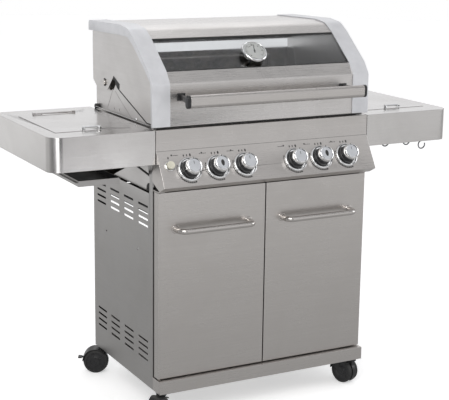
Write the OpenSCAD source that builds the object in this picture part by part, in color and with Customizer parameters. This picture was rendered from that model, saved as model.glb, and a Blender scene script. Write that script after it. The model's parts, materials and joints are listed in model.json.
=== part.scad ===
// Gas barbecue grill on a two-door cabinet: four main burners, a rear burner, a side burner
// under a flush lid, and a glazed roll-back lid between two cast end caps.
// X runs across the cabinet, Y runs from front to back, Z is up from the ground.

/* [Cabinet] */
// Width over the side panels
cart_w = 680; // [620:2:860]
// Depth from the face of the base bar to the back edge of the side panels
cart_d = 476; // [430:2:580]
// Height of the side panels
cart_h = 568; // [470:2:690]
// Thickness of the folded sheet
sheet = 1.5; // [1:0.1:2]
// Height of the bar across the front of the base
base_bar_h = 38; // [30:1:50]
// Front edge of the side panels, behind the face of the base bar
side_front = 48; // [46:1:60]
// Length of a vent slot
slot_l = 66; // [40:1:80]
// Height of a vent slot
slot_h = 6; // [4:0.5:8]
// Height from one vent slot to the next
slot_pitch = 18.7; // [14:0.1:24]
// Radius of the two accessory holes in each side panel
side_hole_r = 3; // [2:0.25:4]

/* [Doors] */
// Thickness of a door
door_t = 27; // [20:1:32]
// Set-back of the door faces from the base bar's face
door_set = 16.5; // [8:0.5:20]
// Gap round the doors
door_gap = 3; // [2:0.5:5]
// Distance between the two ends of a door handle
pull_span = 246; // [160:2:260]
// Diameter of the door handle tube
pull_d = 16; // [10:1:20]
// How far a door handle stands off its door
pull_reach = 46; // [30:1:55]
// Radius of the door pivots
door_pin_r = 4; // [3:0.5:5]

/* [Control panel] */
// Height of the upright upper face
fascia_h = 58; // [40:1:80]
// Width of the sloping face, measured along the slope
slope_l = 107; // [96:1:120]
// Lean of the sloping face from upright, in degrees
slope_a = 31; // [20:1:40]
// Set-back of the upright face from the base bar's face
fascia_set = 23; // [18:1:30]
// Distance from the panel's end to its outer knob
knob_edge = 88; // [80:1:110]
// Distance from the panel's middle to its inner knobs
knob_first = 82; // [60:1:100]
// Height of the knobs up the slope
knob_up = 49; // [44:1:56]
// Diameter of a knob
knob_d = 50; // [40:1:56]
// How far a knob stands out of the panel
knob_out = 36; // [26:1:42]
// Diameter of the ring round a knob
bezel_d = 71; // [64:1:76]
// Radius of a valve stem
stem_r = 4; // [3:0.5:5]
// Diameter of the ignition button
button_d = 22; // [16:1:26]

/* [Shelves] */
// Width of a side shelf
shelf_w = 300; // [240:2:360]
// Depth of the shelf's skirt
skirt_h = 94; // [60:1:110]
// Radius of the shelf's front outer corner
shelf_r = 37; // [20:1:80]
// Radius of the shelf's rear outer corner
shelf_back_r = 5; // [3:0.5:30]
// Width of a flush lid
hatch_w = 220; // [160:2:240]
// Depth of a flush lid
hatch_d = 300; // [240:2:340]
// Width of the drip tray
drip_w = 118; // [90:1:160]
// Depth of the drip tray
drip_d = 270; // [200:2:300]
// Diameter of the wire of a tool hook
hook_wire = 4; // [3:0.5:5]

/* [Hood] */
// Height from the side panels up to the work top
deck_rise = 183; // [160:1:220]
// Height of the upright front of the lid
lid_front_h = 115; // [100:1:140]
// Run of the glazed slope from front to back
glass_run = 98; // [80:1:110]
// Rise of the glazed slope
glass_rise = 80; // [60:1:90]
// Width of a cast end cap
cap_w = 54.5; // [40:0.5:70]
// Thickness of a cast end cap
cap_t = 3.5; // [3:0.5:5]
// Thickness of the glass
glass_t = 4; // [3:0.5:5]
// Height of the handle's oval tube
grip_h = 35; // [28:1:40]
// Depth of the handle's oval tube
grip_d = 20; // [16:1:24]
// Clear space behind the handle
grip_gap = 72; // [50:1:80]
// Diameter of the thermometer
gauge_d = 76; // [50:1:84]
// Radius of the lid's hinge bolts
hinge_r = 5; // [4:0.5:6]

/* [Cooking] */
// Diameter of a main burner tube
burner_d = 26; // [20:1:32]
// Diameter of a bar of the cooking grates
bar_d = 8; // [6:0.5:10]
// Space from one grate bar to the next
bar_pitch = 18; // [15:0.5:24]

/* [Castors] */
// Diameter of a castor wheel
wheel_d = 74; // [60:1:90]
// Width of one wheel of the pair
wheel_t = 15; // [12:1:20]
// Height of the swivel above the wheels
swivel_h = 11; // [11:1:20]
// Distance from the swivel to the wheel axle
castor_trail = 24; // [16:1:28]

/* [Hidden] */
$fn = 64;
run_fit = 0.05;
body_gap = 0.4;
hw = cart_w/2;
castor_h = wheel_d + swivel_h;
side_top = castor_h + cart_h;
deck = side_top + deck_rise;
base_top = castor_h + base_bar_h;
floor_z = castor_h + 12;

// Doors
door_x0 = door_gap/2;
door_x1 = hw - 2;
door_z0 = base_top + door_gap;
door_z1 = side_top + 11;
door_back = door_set + door_t;
pivot_x = hw - 10;
pivot_y = door_set + 9.5;
pull_z = door_z1 - 106;
pull_bend = 20;

// Control panel, as points in the Y-Z plane
panel_hw = hw + 2;
fascia_low = [fascia_set, deck - fascia_h];
slope_dir = [sin(slope_a), cos(slope_a)];
slope_out = [-cos(slope_a), sin(slope_a)];
slope_low = fascia_low - slope_l*slope_dir;
chin_back = slope_low + [31, -16];
knob_pitch = (panel_hw - knob_edge - knob_first)/2;
knob_x = [for (s = [-1, 1], i = [0:2]) s*(knob_first + i*knob_pitch)];
KNOB_X = [knob_x[2], knob_x[1], knob_x[0], knob_x[3], knob_x[4], knob_x[5]];
button_x = -panel_hw + 31;
button_up = knob_up + 14;
button_travel = 4;

// Firebox
fire_hw = hw - 9;
cheek_x = fire_hw;
fire_front = 62;
fire_back = cart_d - 8;
fire_top = deck + 2;
back_wall_top = deck + 156;
grate_z = deck - 12;
burner_z = deck - 88;
funnel_top = side_top + 42;
funnel_z = side_top - 30;
valve_l = 30;
valve_back = 16;
jet_y = fascia_set + 13;
manifold_r = 9;

// Hood, as points in the Y-Z plane
lid_hw = hw + 9;
lid_side_x = hw - 4;
lid_low = deck + 5.5;
lid_y = 35;
lid_back = cart_d + 2;
hinge = [cart_d - 88, deck + 86];
bend_low = [lid_y + 2, lid_low + lid_front_h];
glass_low = bend_low + [23, 31.5];
glass_high = glass_low + [glass_run, glass_rise];
crown = glass_high + [38, 23.5];
top_front = crown + [54, 6.5];
top_back = [lid_back, top_front[1] - 5];
back_low = [lid_back + 2, back_wall_top + 26];
grip_y = lid_y - grip_gap - grip_d/2;
grip_z = lid_low + 77.8;
grip_hw = hw - 64;
gauge_along = 46;
gauge_x = -8;
peak = [fire_front + 238, deck + 107];

// Shelves
shelf_x0 = panel_hw + 1.5;
shelf_x1 = shelf_x0 + shelf_w;
shelf_front = fascia_set;
shelf_back = cart_d + 14;
skirt_z = deck - skirt_h;
hatch_x = shelf_x0 + shelf_w/2 - 1.5;
hatch_y0 = shelf_front + 72;
hatch_y1 = hatch_y0 + hatch_d;
hatch_fit = 1.2;
hatch_hinge = [hatch_y1 + 5, deck + 3.5];
drip_y0 = shelf_front + 38;
drip_h = 16;
drip_z = skirt_z - 50;
pan_depth = 70;

// Castors
castor_y = [28, cart_d - 22];
castor_x = hw - 18;
axle_z = wheel_d/2;
hood_r = wheel_d/2 + 2.5;
plate_t = 3;

fork_w = 13;
hood_end = fork_w/2 + wheel_t + 1;
swing = [[-1, 0, -135], [1, 0, 107], [-1, 1, 152], [1, 1, 28]];

// The grill is centred from the lid's handle to whichever reaches further back, shelf or castor
castor_back = castor_y[1] + (castor_trail + hood_r + 1.5)*sin(swing[2][2]) - hood_end*cos(swing[2][2]);
y_low = grip_y - grip_d/2;
y_high = max(shelf_back, castor_back);
y_mid = (y_low + y_high)/2;

steel = [0.72, 0.71, 0.70];
side_steel = [0.60, 0.60, 0.59];
cast_alloy = [0.78, 0.81, 0.84];
chrome = [0.86, 0.87, 0.88];
black = [0.07, 0.07, 0.07];
iron = [0.15, 0.15, 0.16];
brass = [0.72, 0.60, 0.30];

// ---------------------------------------------------------------- shared shapes

function unit(v) = v/norm(v);
function left_of(a, b) = [a[1] - b[1], b[0] - a[0]]/norm(b - a);

// A path moved sideways by d, to the left of its direction, with mitred corners
function shifted(p, d) = [
    for (i = [0:len(p) - 1])
        let (
            n1 = i > 0 ? left_of(p[i - 1], p[i]) : left_of(p[i], p[i + 1]),
            n2 = i < len(p) - 1 ? left_of(p[i], p[i + 1]) : n1
        )
        p[i] + d*(n1 + n2)/(1 + n1*n2)
];
function reversed(p) = [for (i = [len(p) - 1:-1:0]) p[i]];
function strip(p, d1, d2) = concat(shifted(p, d1), reversed(shifted(p, d2)));

// The arc of radius r that rounds the corner b between a and c
function bend(a, b, c, r, n = 6) =
    let (
        u = unit(a - b),
        v = unit(c - b),
        half = acos(u*v)/2,
        centre = b + unit(u + v)*r/sin(half),
        from = b + u*r/tan(half) - centre,
        to = b + v*r/tan(half) - centre,
        turn = 180 - 2*half
    )
    [for (k = [0:n]) centre + (from*sin(turn*(1 - k/n)) + to*sin(turn*k/n))/sin(turn)];

// A path with every inner corner rounded; r lists one radius for each
function rounded(p, r) = concat(
    [p[0]],
    [for (i = [1:len(p) - 2]) each bend(p[i - 1], p[i], p[i + 1], r[i - 1])],
    [p[len(p) - 1]]
);

// Extrudes a Y-Z outline from x0 to x1
module along_x(x0, x1)
    translate([x0, 0, 0]) rotate([90, 0, 90]) linear_extrude(x1 - x0) children();

// Extrudes an X-Z outline from y0 to y1
module along_y(y0, y1)
    translate([0, y1, 0]) rotate([90, 0, 0]) linear_extrude(y1 - y0) children();

module block(x, y, z)
    translate([x[0], y[0], z[0]]) cube([x[1] - x[0], y[1] - y[0], z[1] - z[0]]);

module both_sides() {
    children();
    mirror([1, 0, 0]) children();
}

module rod_x(x0, x1, y, z, r)
    translate([x0, y, z]) rotate([0, 90, 0]) cylinder(r = r, h = x1 - x0);

module rod_y(y0, y1, x, z, r)
    translate([x, y1, z]) rotate([90, 0, 0]) cylinder(r = r, h = y1 - y0);

// A level slot centred on the origin
module slot_2d(l, h) {
    square([l - h, h], center = true);
    for (s = [-1, 1]) translate([s*(l - h)/2, 0]) circle(d = h);
}

// A rectangle whose two corners on the +X side are rounded: r at the front, back_r at the back
module d_shape(x0, x1, y0, y1, r, back_r) {
    translate([x0, y0]) square([x1 - r - x0, y1 - back_r - y0]);
    translate([x0, y0 + r]) square([x1 - back_r - x0, y1 - y0 - r]);
    translate([x0, y0 + r]) square([x1 - x0, y1 - back_r - y0 - r]);
    translate([x1 - r, y0 + r]) circle(r);
    translate([x1 - back_r, y1 - back_r]) circle(back_r);
}

// Puts children on the sloping face: +Z outwards, +Y up the slope
module on_slope(x, up)
    translate([x, slope_low[0] + up*slope_dir[0], slope_low[1] + up*slope_dir[1]])
        rotate([90 - slope_a, 0, 0]) children();

// Puts children on the glass: +Z outwards, +Y up the slope
module on_glass(x, along) {
    tilt = atan2(glass_rise, glass_run);
    translate([x, glass_low[0] + along*cos(tilt), glass_low[1] + along*sin(tilt)])
        rotate([tilt, 0, 0]) children();
}

// ---------------------------------------------------------------- cabinet

vent_cols = 4;
vent_rows = 4;
vent_y0 = side_front + 32;
vent_step = (cart_d - 29 - slot_l - vent_y0)/(vent_cols - 1);
vent_high = side_top - 41;
vent_low = castor_h + 77;
side_hole_z = side_top - 177.5;
side_hole_y = [cart_d - 326, cart_d - 98];
ear_top = skirt_z + 24;

module side_panel_outline()
    difference() {
        union() {
            translate([side_front, castor_h]) square([cart_d - side_front, cart_h]);
            // front ear that reaches up behind the control panel
            polygon([
                [side_front, side_top - 1], [side_front + 24, side_top - 1],
                [side_front + 20, side_top + 40], [side_front + 46, ear_top], [side_front, ear_top]
            ]);
        }
        for (i = [0:vent_cols - 1], j = [0:vent_rows - 1])
            translate([vent_y0 + i*vent_step + slot_l/2, 0]) {
                translate([0, vent_high - j*slot_pitch]) slot_2d(slot_l, slot_h);
                translate([0, vent_low + j*slot_pitch]) slot_2d(slot_l, slot_h);
            }
        for (y = side_hole_y) translate([y, side_hole_z]) circle(side_hole_r);
    }

// Left side panel with its front, back and bottom flanges turned inwards
module side_panel() {
    along_x(-hw, -hw + sheet) side_panel_outline();
    block([-hw, -hw + 20], [side_front, side_front + sheet], [castor_h, side_top]);
    block([-hw, -hw + 34], [cart_d - sheet, cart_d], [castor_h, side_top]);
    block([-hw, -hw + 24], [side_front, cart_d], [castor_h, castor_h + sheet]);
}
module side_panels() color(side_steel) both_sides() side_panel();

post = 28;
inner_hw = hw - sheet;
frame_back = cart_d - 2*sheet;
grease_z = funnel_z - 28;
grease_hw = inner_hw - post - 6;

// Two back posts, the rail that joins them, and the two ledges that carry the grease tray
module rear_frame() color([0.2, 0.2, 0.2]) {
    both_sides() {
        block([inner_hw - post, inner_hw], [frame_back - post, frame_back], [floor_z + sheet, side_top]);
        block([grease_hw - 12, inner_hw], [side_front + 36, frame_back - post],
            [grease_z - body_gap - sheet, grease_z - body_gap]);
        block([inner_hw - sheet, inner_hw], [side_front + 36, frame_back - post],
            [grease_z - body_gap, grease_z + 16]);
    }
    block([-inner_hw + post, inner_hw - post], [frame_back - post, frame_back], [side_top - post, side_top]);
}

back_panel_top = castor_h + 0.52*cart_h;
module back_panel() color([0.35, 0.35, 0.35]) {
    block([-inner_hw, inner_hw], [frame_back, frame_back + sheet], [castor_h + sheet, back_panel_top]);
    block([-inner_hw + post, inner_hw - post], [frame_back - 12, frame_back], [back_panel_top - sheet, back_panel_top]);
}

module cabinet_floor() color(side_steel) {
    y0 = side_front + sheet;
    block([-inner_hw, inner_hw], [y0, frame_back], [floor_z, floor_z + sheet]);
    for (y = castor_y) difference() {
        block([-inner_hw, inner_hw], [max(y - 34, y0), min(y + 34, frame_back)], [castor_h + sheet, floor_z]);
        block([-hw, hw], [y - 31, y + 31], [castor_h, floor_z - sheet]);
    }
}

module base_bar() color(steel) difference() {
    block([-hw, hw], [0, side_front], [castor_h, base_top]);
    block([-hw + sheet, hw - sheet], [sheet, side_front + 1], [castor_h + sheet, base_top - sheet]);
    both_sides() translate([pivot_x, pivot_y, base_top - 3]) cylinder(r = door_pin_r + run_fit, h = 6);
}

module header_rail() color(side_steel) {
    difference() {
        block([-inner_hw, inner_hw], [side_front + sheet, side_front + 32], [side_top - 26, side_top]);
        block([-hw, hw], [side_front + 2*sheet, side_front + 33], [side_top - 26 + sheet, side_top - sheet]);
    }
    // brackets that hold the upper door pivots
    both_sides() difference() {
        union() {
            block([pivot_x - 12, hw - sheet], [pivot_y - 10, side_front + 20], [door_z1 + 1, door_z1 + 4]);
            block([pivot_x - 12, hw - sheet], [side_front + sheet, side_front + 20], [side_top, door_z1 + 4]);
        }
        translate([pivot_x, pivot_y, door_z1]) cylinder(r = door_pin_r + run_fit, h = 6);
    }
    // magnetic catches
    both_sides()
        block([12, 40], [door_back + 1, side_front + sheet], [side_top - 20, side_top - 6]);
}

// ---------------------------------------------------------------- doors

module door() color(steel) {
    difference() {
        block([door_x0, door_x1], [door_set, door_back], [door_z0, door_z1]);
        block([door_x0 + sheet, door_x1 - sheet], [door_set + sheet, door_back - sheet],
            [door_z0 + sheet, door_z1 - sheet]);
        block([door_x0 + 16, door_x1 - 22], [door_set + sheet, door_back + 1],
            [door_z0 + 18, door_z1 - 30]);
    }
    for (z = [door_z0 - 4.5, door_z1 - sheet])
        translate([pivot_x, pivot_y, z]) cylinder(r = door_pin_r, h = 6);
}
module door_right() door();
module door_left() mirror([1, 0, 0]) door();

// Bow handle bent from one tube, its ends on the door's face
module pull() color(chrome) {
    mid = (door_x0 + door_x1)/2;
    r = pull_d/2;
    y = door_set - pull_reach + r;
    for (s = [-1, 1]) {
        x = mid + s*(pull_span/2 - r);
        rod_y(y + pull_bend, door_set, x, pull_z, r);
        translate([x - s*pull_bend, y + pull_bend, pull_z])
            rotate([0, 0, s > 0 ? -90 : 180]) rotate_extrude(angle = 90) translate([pull_bend, 0]) circle(r);
    }
    rod_x(mid - pull_span/2 + r + pull_bend, mid + pull_span/2 - r - pull_bend, y, pull_z, r);
}
module door_handle_right() pull();
module door_handle_left() mirror([1, 0, 0]) pull();

// ---------------------------------------------------------------- control panel

panel_path = [
    [fire_front - sheet, deck], [fascia_set, deck], fascia_low, slope_low, chin_back
];

module control_panel() color(steel) difference() {
    union() {
        along_x(-panel_hw, panel_hw) polygon(strip(reversed(panel_path), -sheet, 0));
        both_sides() along_x(panel_hw - sheet, panel_hw)
            polygon([[side_front - 1, deck], [fascia_set, deck], fascia_low, slope_low, chin_back,
                [side_front - 1, chin_back[1] + 20]]);
    }
    for (x = KNOB_X) on_slope(x, knob_up) translate([0, 0, -5]) cylinder(r = stem_r + 2, h = 10);
    on_slope(button_x, button_up) translate([0, 0, -5]) cylinder(d = button_d - 6 + 2*run_fit + 1, h = 10);
}

bezel_t = 5;
module knob_bezels() color(chrome) {
    for (x = KNOB_X) on_slope(x, knob_up) difference() {
        rotate_extrude() polygon([
            [stem_r + 2, 0], [bezel_d/2, 0], [bezel_d/2, 2.2], [bezel_d/2 - 3, bezel_t],
            [knob_d/2 + 3.5, bezel_t], [knob_d/2 + 1, 2], [stem_r + 2, 2]
        ]);
        translate([0, 0, -1]) cylinder(r = stem_r + 1.5, h = 9);
    }
    on_slope(button_x, button_up) difference() {
        cylinder(d = button_d + 8, h = 4);
        translate([0, 0, -1]) cylinder(d = button_d + 1, h = 6);
    }
}

// Knob with a skirt, a raised grip bar across its face, and the stem it turns
module knob(i) color(chrome) on_slope(KNOB_X[i], knob_up) {
    rotate_extrude() polygon([
        [0, 3], [knob_d/2, 3], [knob_d/2, 9], [knob_d/2 - 2.5, 11], [knob_d/2 - 4, knob_out - 3],
        [knob_d/2 - 7, knob_out], [0, knob_out]
    ]);
    translate([0, 0, -valve_l - valve_back + 22]) cylinder(r = stem_r, h = valve_l + valve_back - 18);
}
module knob_1() knob(0);
module knob_2() knob(1);
module knob_3() knob(2);
module knob_4() knob(3);
module knob_5() knob(4);
module knob_6() knob(5);

module ignition_button() color([0.85, 0.84, 0.78]) on_slope(button_x, button_up) {
    translate([0, 0, 4.5]) cylinder(d = button_d, h = 8);
    translate([0, 0, -14]) cylinder(d = button_d - 6, h = 19);
}

// Gas rail behind the panel, with one valve under each knob and the igniter's socket
module gas_manifold() color(brass) {
    depth = -valve_l - valve_back;
    difference() {
        union() {
            for (x = KNOB_X) on_slope(x, knob_up) {
                translate([0, 0, depth + 4]) cylinder(r = 11, h = valve_l + 6);
                translate([-9, -9, depth - 2]) cube([18, 18, 18]);
            }
            on_slope(0, knob_up) translate([0, 0, depth - 8])
                rod_x(-panel_hw + 12, panel_hw - 12, 0, 0, manifold_r);
            // jets that reach into the necks of the main burners
            for (x = burner_x) {
                translate([x, jet_y, slope_low[1] + 30]) cylinder(r = 5, h = burner_z - slope_low[1] - 26);
                rod_y(jet_y, fire_front - 4, x, burner_z, 4);
            }
            on_slope(button_x, button_up) translate([0, 0, -26]) cylinder(d = button_d, h = 26 - sheet - 1);
            on_slope(button_x, button_up) translate([-4, -3, -60]) cube([8, 6, 36]);
        }
        for (x = KNOB_X) on_slope(x, knob_up)
            translate([0, 0, depth + 20]) cylinder(r = stem_r + run_fit, h = 60);
        on_slope(button_x, button_up) translate([0, 0, -19]) cylinder(d = button_d - 6 + 2*run_fit, h = 60);
    }
}

// ---------------------------------------------------------------- firebox

burner_x = [KNOB_X[0], KNOB_X[2], KNOB_X[3], KNOB_X[5]];
grease_y = [fire_front + 110, fire_back - 110];

module firebox() color(side_steel) {
    x = fire_hw - sheet;
    difference() {
        union() {
            block([-x, x], [fire_front, fire_front + sheet], [funnel_top, fire_top]);
            block([-x, x], [fire_back - sheet, fire_back], [funnel_top, back_wall_top]);
        }
        for (bx = burner_x)
            rod_y(fire_front - 5, fire_front + 5, bx, burner_z, burner_d/2 + 1);
    }
    both_sides() block([x - sheet, x], [fire_front, fire_back], [funnel_top, fire_top]);
    // sloping floor that sheds grease to the tray
    along_x(-x, x) polygon(strip([[fire_front, funnel_top], [grease_y[0], funnel_z]], 0, sheet));
    along_x(-x, x) polygon(strip([[grease_y[1], funnel_z], [fire_back, funnel_top]], 0, sheet));
    // ledges for the cooking grates
    for (y = [fire_front + sheet, fire_back - sheet - 14])
        block([-x + sheet, x - sheet], [y, y + 14], [grate_z - bar_d - sheet, grate_z - bar_d]);
}

lug_r = 22;
module firebox_side() {
    difference() {
        along_x(cheek_x - sheet, cheek_x) difference() {
            union() {
                polygon([
                    [side_front + 14, side_top + 17], [side_front + 21, side_top + 17],
                    [side_front + 21, side_top + 1], [cart_d - 132, side_top + 1],
                    [cart_d - 228, side_top + 40], [fire_back, side_top + 42],
                    [fire_back, deck + 66], [peak[0] + 52, deck + 66], peak, [peak[0] - 8, peak[1] - 4],
                    [side_front + 40, deck + 8], [side_front + 14, deck + 6]
                ]);
                polygon([
                    [hinge[0] - lug_r, deck + 60], [fire_back, deck + 60],
                    [fire_back, back_wall_top], [hinge[0] + lug_r + 20, back_wall_top],
                    [hinge[0] + lug_r, hinge[1] + 4], [hinge[0] - lug_r, hinge[1]]
                ]);
                translate(hinge) circle(lug_r);
            }
            // two accessory holes
            for (y = [-4, 32]) translate([peak[0] + y, deck + 16]) circle(2.2);
            polygon([peak + [3, 0], [hinge[0] - lug_r - 2, peak[1] + 6],
                [hinge[0] - lug_r - 1, hinge[1] - 8], [peak[0] + 40, deck + 68]]);
        }
        rod_x(cheek_x - 10, cheek_x + 10, hinge[0], hinge[1], hinge_r);
    }
}
module firebox_sides() color(steel) both_sides() firebox_side();

module hinge_bolts() color(chrome) both_sides() {
    rod_x(cheek_x - 8, lid_side_x + sheet + 1, hinge[0], hinge[1], hinge_r);
    rod_x(lid_side_x + sheet + body_gap, lid_side_x + sheet + 5, hinge[0], hinge[1], 9);
    rod_x(cheek_x - sheet - 7, cheek_x - sheet, hinge[0], hinge[1], 8.5);
}

bumper_r = 8;
bumper = [fire_back - 14, deck + 6];
module lid_bumpers() color(black) both_sides() {
    rod_x(cheek_x, cheek_x + 11, bumper[0], bumper[1], bumper_r);
}

module rear_burner() color(side_steel) {
    w = fire_hw - 90;
    difference() {
        block([-w, w], [fire_back - 52, fire_back - sheet], [deck + 50, deck + 140]);
        block([-w + 12, w - 12], [fire_back - 60, fire_back - 40], [deck + 62, deck + 128]);
    }
}

module main_burners() color(iron) {
    for (x = burner_x) difference() {
        union() {
            rod_y(fire_front + 24, fire_back - 26, x, burner_z, burner_d/2);
            rod_y(fire_front - 8, fire_front + 40, x, burner_z, burner_d/2 - 3);
            block([x - 5, x + 5], [fire_back - 30, fire_back - sheet], [burner_z - 10, burner_z]);
        }
        rod_y(fire_front - 10, fire_back - 40, x, burner_z, burner_d/2 - 5);
    }
}

module flame_tamers() color(side_steel) for (x = burner_x)
    translate([x, 0, burner_z + 22]) along_y(fire_front + 8, fire_back - 8)
        polygon(strip([[-52, 0], [0, 30], [52, 0]], 0, sheet));

grate_gap = 3;
module cooking_grates() color(iron) {
    x1 = fire_hw - 3*sheet - grate_gap;
    y0 = fire_front + sheet + grate_gap;
    y1 = fire_back - sheet - grate_gap;
    n = floor((x1 - grate_gap/2 - bar_d)/bar_pitch);
    both_sides() {
        for (y = [y0, (y0 + y1)/2 - bar_d/2, y1 - bar_d])
            block([grate_gap/2, x1], [y, y + bar_d], [grate_z - bar_d, grate_z - 1]);
        for (i = [0:n]) {
            x = grate_gap/2 + i*(x1 - grate_gap/2 - bar_d)/n;
            block([x, x + bar_d], [y0, y1], [grate_z - bar_d, grate_z]);
        }
    }
}

rack_y = [fire_back - 150, fire_back - 58];
rack_z = deck + 42;
module warming_rack() color(chrome) {
    x1 = fire_hw - 2*sheet - 8;
    for (y = rack_y) rod_x(-x1, x1, y, rack_z, 3);
    n = 34;
    for (i = [0:n])
        rod_y(rack_y[0], rack_y[1], -x1 + 6 + i*(2*x1 - 12)/n, rack_z + 2, 1.6);
    for (s = [-1, 1], y = [rack_y[0] + 8, rack_y[1] - 8])
        translate([s*(x1 - 3), y, fire_top]) cylinder(r = 3, h = rack_z - fire_top);
    for (s = [-1, 1])
        block([s > 0 ? x1 - 9 : -x1 - 3, s > 0 ? x1 + 3 : -x1 + 9], [rack_y[0], rack_y[1]],
            [fire_top, fire_top + 3]);
}

tray_y = [grease_y[0] - 14, grease_y[1] + 14];
module grease_tray() color(steel) {
    w = grease_hw;
    z = grease_z;
    difference() {
        union() {
            block([-w, w], tray_y, [z, z + 22]);
            // cup that hangs under the middle
            translate([0, (tray_y[0] + tray_y[1])/2, z - 60]) cylinder(r = 40, h = 60 + sheet);
        }
        block([-w + sheet, w - sheet], [tray_y[0] + sheet, tray_y[1] - sheet], [z + sheet, z + 30]);
        translate([0, (tray_y[0] + tray_y[1])/2, z - 60 + sheet]) cylinder(r = 40 - sheet, h = 60 + 30);
    }
}

// ---------------------------------------------------------------- shelves

module shelf(hatch) {
    difference() {
        translate([0, 0, skirt_z]) linear_extrude(skirt_h)
            d_shape(shelf_x0, shelf_x1, shelf_front, shelf_back, shelf_r, shelf_back_r);
        translate([0, 0, skirt_z - 1]) linear_extrude(skirt_h + 1 - sheet)
            d_shape(shelf_x0 + sheet, shelf_x1 - sheet, shelf_front + sheet, shelf_back - sheet,
                shelf_r - sheet, shelf_back_r - sheet);
        block([hatch_x - hatch_w/2, hatch_x + hatch_w/2], [hatch_y0, hatch_y1], [deck - 10, deck + 10]);
        // the skirt is cut back along the firebox
        block([shelf_x0 - 1, shelf_x0 + sheet], [shelf_front + 20, shelf_back - 20], [skirt_z - 1, deck - 40]);
    }
    // hinge ears for the flush lid
    for (s = [-1, 1]) difference() {
        block([hatch_x + s*60 - 4, hatch_x + s*60 + 4], [hatch_hinge[0] - 5, hatch_hinge[0] + 5],
            [deck - sheet, hatch_hinge[1] + 3.5]);
        rod_x(hatch_x + s*60 - 10, hatch_x + s*60 + 10, hatch_hinge[0], hatch_hinge[1], 1.5 + run_fit);
    }
}
module shelf_left() color(steel) mirror([1, 0, 0]) shelf();
module shelf_right() color(steel) shelf();

// Flush lid with a down-turned rim, a finger pull and a hinge pin at the back
module hatch() color(steel) {
    x0 = hatch_x - hatch_w/2 + hatch_fit;
    x1 = hatch_x + hatch_w/2 - hatch_fit;
    y0 = hatch_y0 + hatch_fit;
    y1 = hatch_y1 - hatch_fit;
    difference() {
        block([x0, x1], [y0, y1], [deck - 7, deck + 1]);
        block([x0 + sheet, x1 - sheet], [y0 + sheet, y1 - sheet], [deck - 8, deck + 1 - sheet]);
    }
    block([hatch_x - 40, hatch_x + 40], [y1 - 12, hatch_hinge[0] - 1], [deck + 1, deck + 2.2]);
    rod_x(hatch_x - 66, hatch_x + 66, hatch_hinge[0], hatch_hinge[1], 1.5);
    rod_x(hatch_x - 54, hatch_x + 54, hatch_hinge[0], hatch_hinge[1], 2.4);
    // finger pull
    for (s = [-1, 1]) translate([hatch_x + s*22, y0 + 16, deck + 1]) cylinder(r = 4, h = 6);
    rod_x(hatch_x - 26, hatch_x + 26, y0 + 16, deck + 7.5, 3);
}
module side_burner_lid() mirror([1, 0, 0]) hatch();
module condiment_lid() hatch();

// Open pan hung in the shelf's opening
module pan(depth) {
    x = [hatch_x - hatch_w/2 - 6, hatch_x + hatch_w/2 + 6];
    y = [hatch_y0 - 6, hatch_y1 + 1];
    difference() {
        block(x, y, [deck - depth, deck - sheet]);
        block([x[0] + sheet, x[1] - sheet], [y[0] + sheet, y[1] - sheet],
            [deck - depth + sheet, deck]);
    }
}

module side_burner() color(steel) mirror([1, 0, 0]) {
    pan(pan_depth);
    translate([hatch_x, (hatch_y0 + hatch_y1)/2, deck - pan_depth + sheet]) {
        cylinder(r = 20, h = 20);
        translate([0, 0, 20]) cylinder(r = 42, h = 12);
        translate([0, 0, 32]) cylinder(r = 30, h = 5);
    }
}

module side_burner_grate() color(iron) mirror([1, 0, 0]) translate([hatch_x, (hatch_y0 + hatch_y1)/2, 0]) {
    z = deck - pan_depth + sheet;
    r = hatch_w/2 - 14;
    difference() {
        translate([0, 0, z + 42]) cylinder(r = r, h = 6);
        translate([0, 0, z + 41]) cylinder(r = r - 6, h = 8);
    }
    for (a = [0:60:300]) rotate(a) {
        block([28, r - 3], [-3, 3], [z + 42, z + 48]);
        translate([r - 3, 0, z]) cylinder(r = 2.2, h = 44);
    }
}

module condiment_pan() color(steel) pan(skirt_h - 8);

module shelf_brackets() color(black) {
    both_sides() for (y = [shelf_front + 50, shelf_back - 90]) {
        block([cheek_x, shelf_x0], [y, y + 34], [deck - 34, deck - 10]);
        block([shelf_x0 + sheet, shelf_x0 + 21], [y, y + 34], [deck - 34, deck - 31]);
        block([shelf_x0 + sheet, shelf_x0 + sheet + 3], [y, y + 34], [deck - 34, deck - 10]);
    }
    // struts from the cabinet up to the shelves' front skirts
    foot = [shelf_x0 + 62, skirt_z + 13];
    foot_x = [foot[0] - 12, foot[0] + 8];
    both_sides() {
        along_y(side_front + 27, side_front + 40) polygon([
            [cheek_x, side_top + 43], foot, foot + [0, 6], [cheek_x, side_top + 49]
        ]);
        block(foot_x, [shelf_front + sheet, side_front + 40], [foot[1], foot[1] + 3]);
        block(foot_x, [shelf_front + sheet, shelf_front + sheet + 2], [foot[1], foot[1] + 20]);
    }
}

// Hangers and rails of the drip tray under the left shelf
drip_x0 = hatch_x - drip_w/2;
drip_x1 = hatch_x + drip_w/2;
module drip_rails() mirror([1, 0, 0]) for (s = [-1, 1]) {
    x = s > 0 ? drip_x1 : drip_x0;
    for (y = [drip_y0 + 46, drip_y0 + drip_d - 30])
        block([x + (s > 0 ? 7 : -8.5), x + (s > 0 ? 8.5 : -7)], [y, y + 16], [drip_z + 9, deck - pan_depth]);
    block([x + (s > 0 ? body_gap : -8.5), x + (s > 0 ? 8.5 : -body_gap)], [drip_y0 + 6, drip_y0 + drip_d],
        [drip_z + 8, drip_z + 9.5]);
    block([x + (s > 0 ? 7 : -8.5), x + (s > 0 ? 8.5 : -7)], [drip_y0 + 6, drip_y0 + drip_d],
        [drip_z + 9, drip_z + 20]);
}

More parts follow.
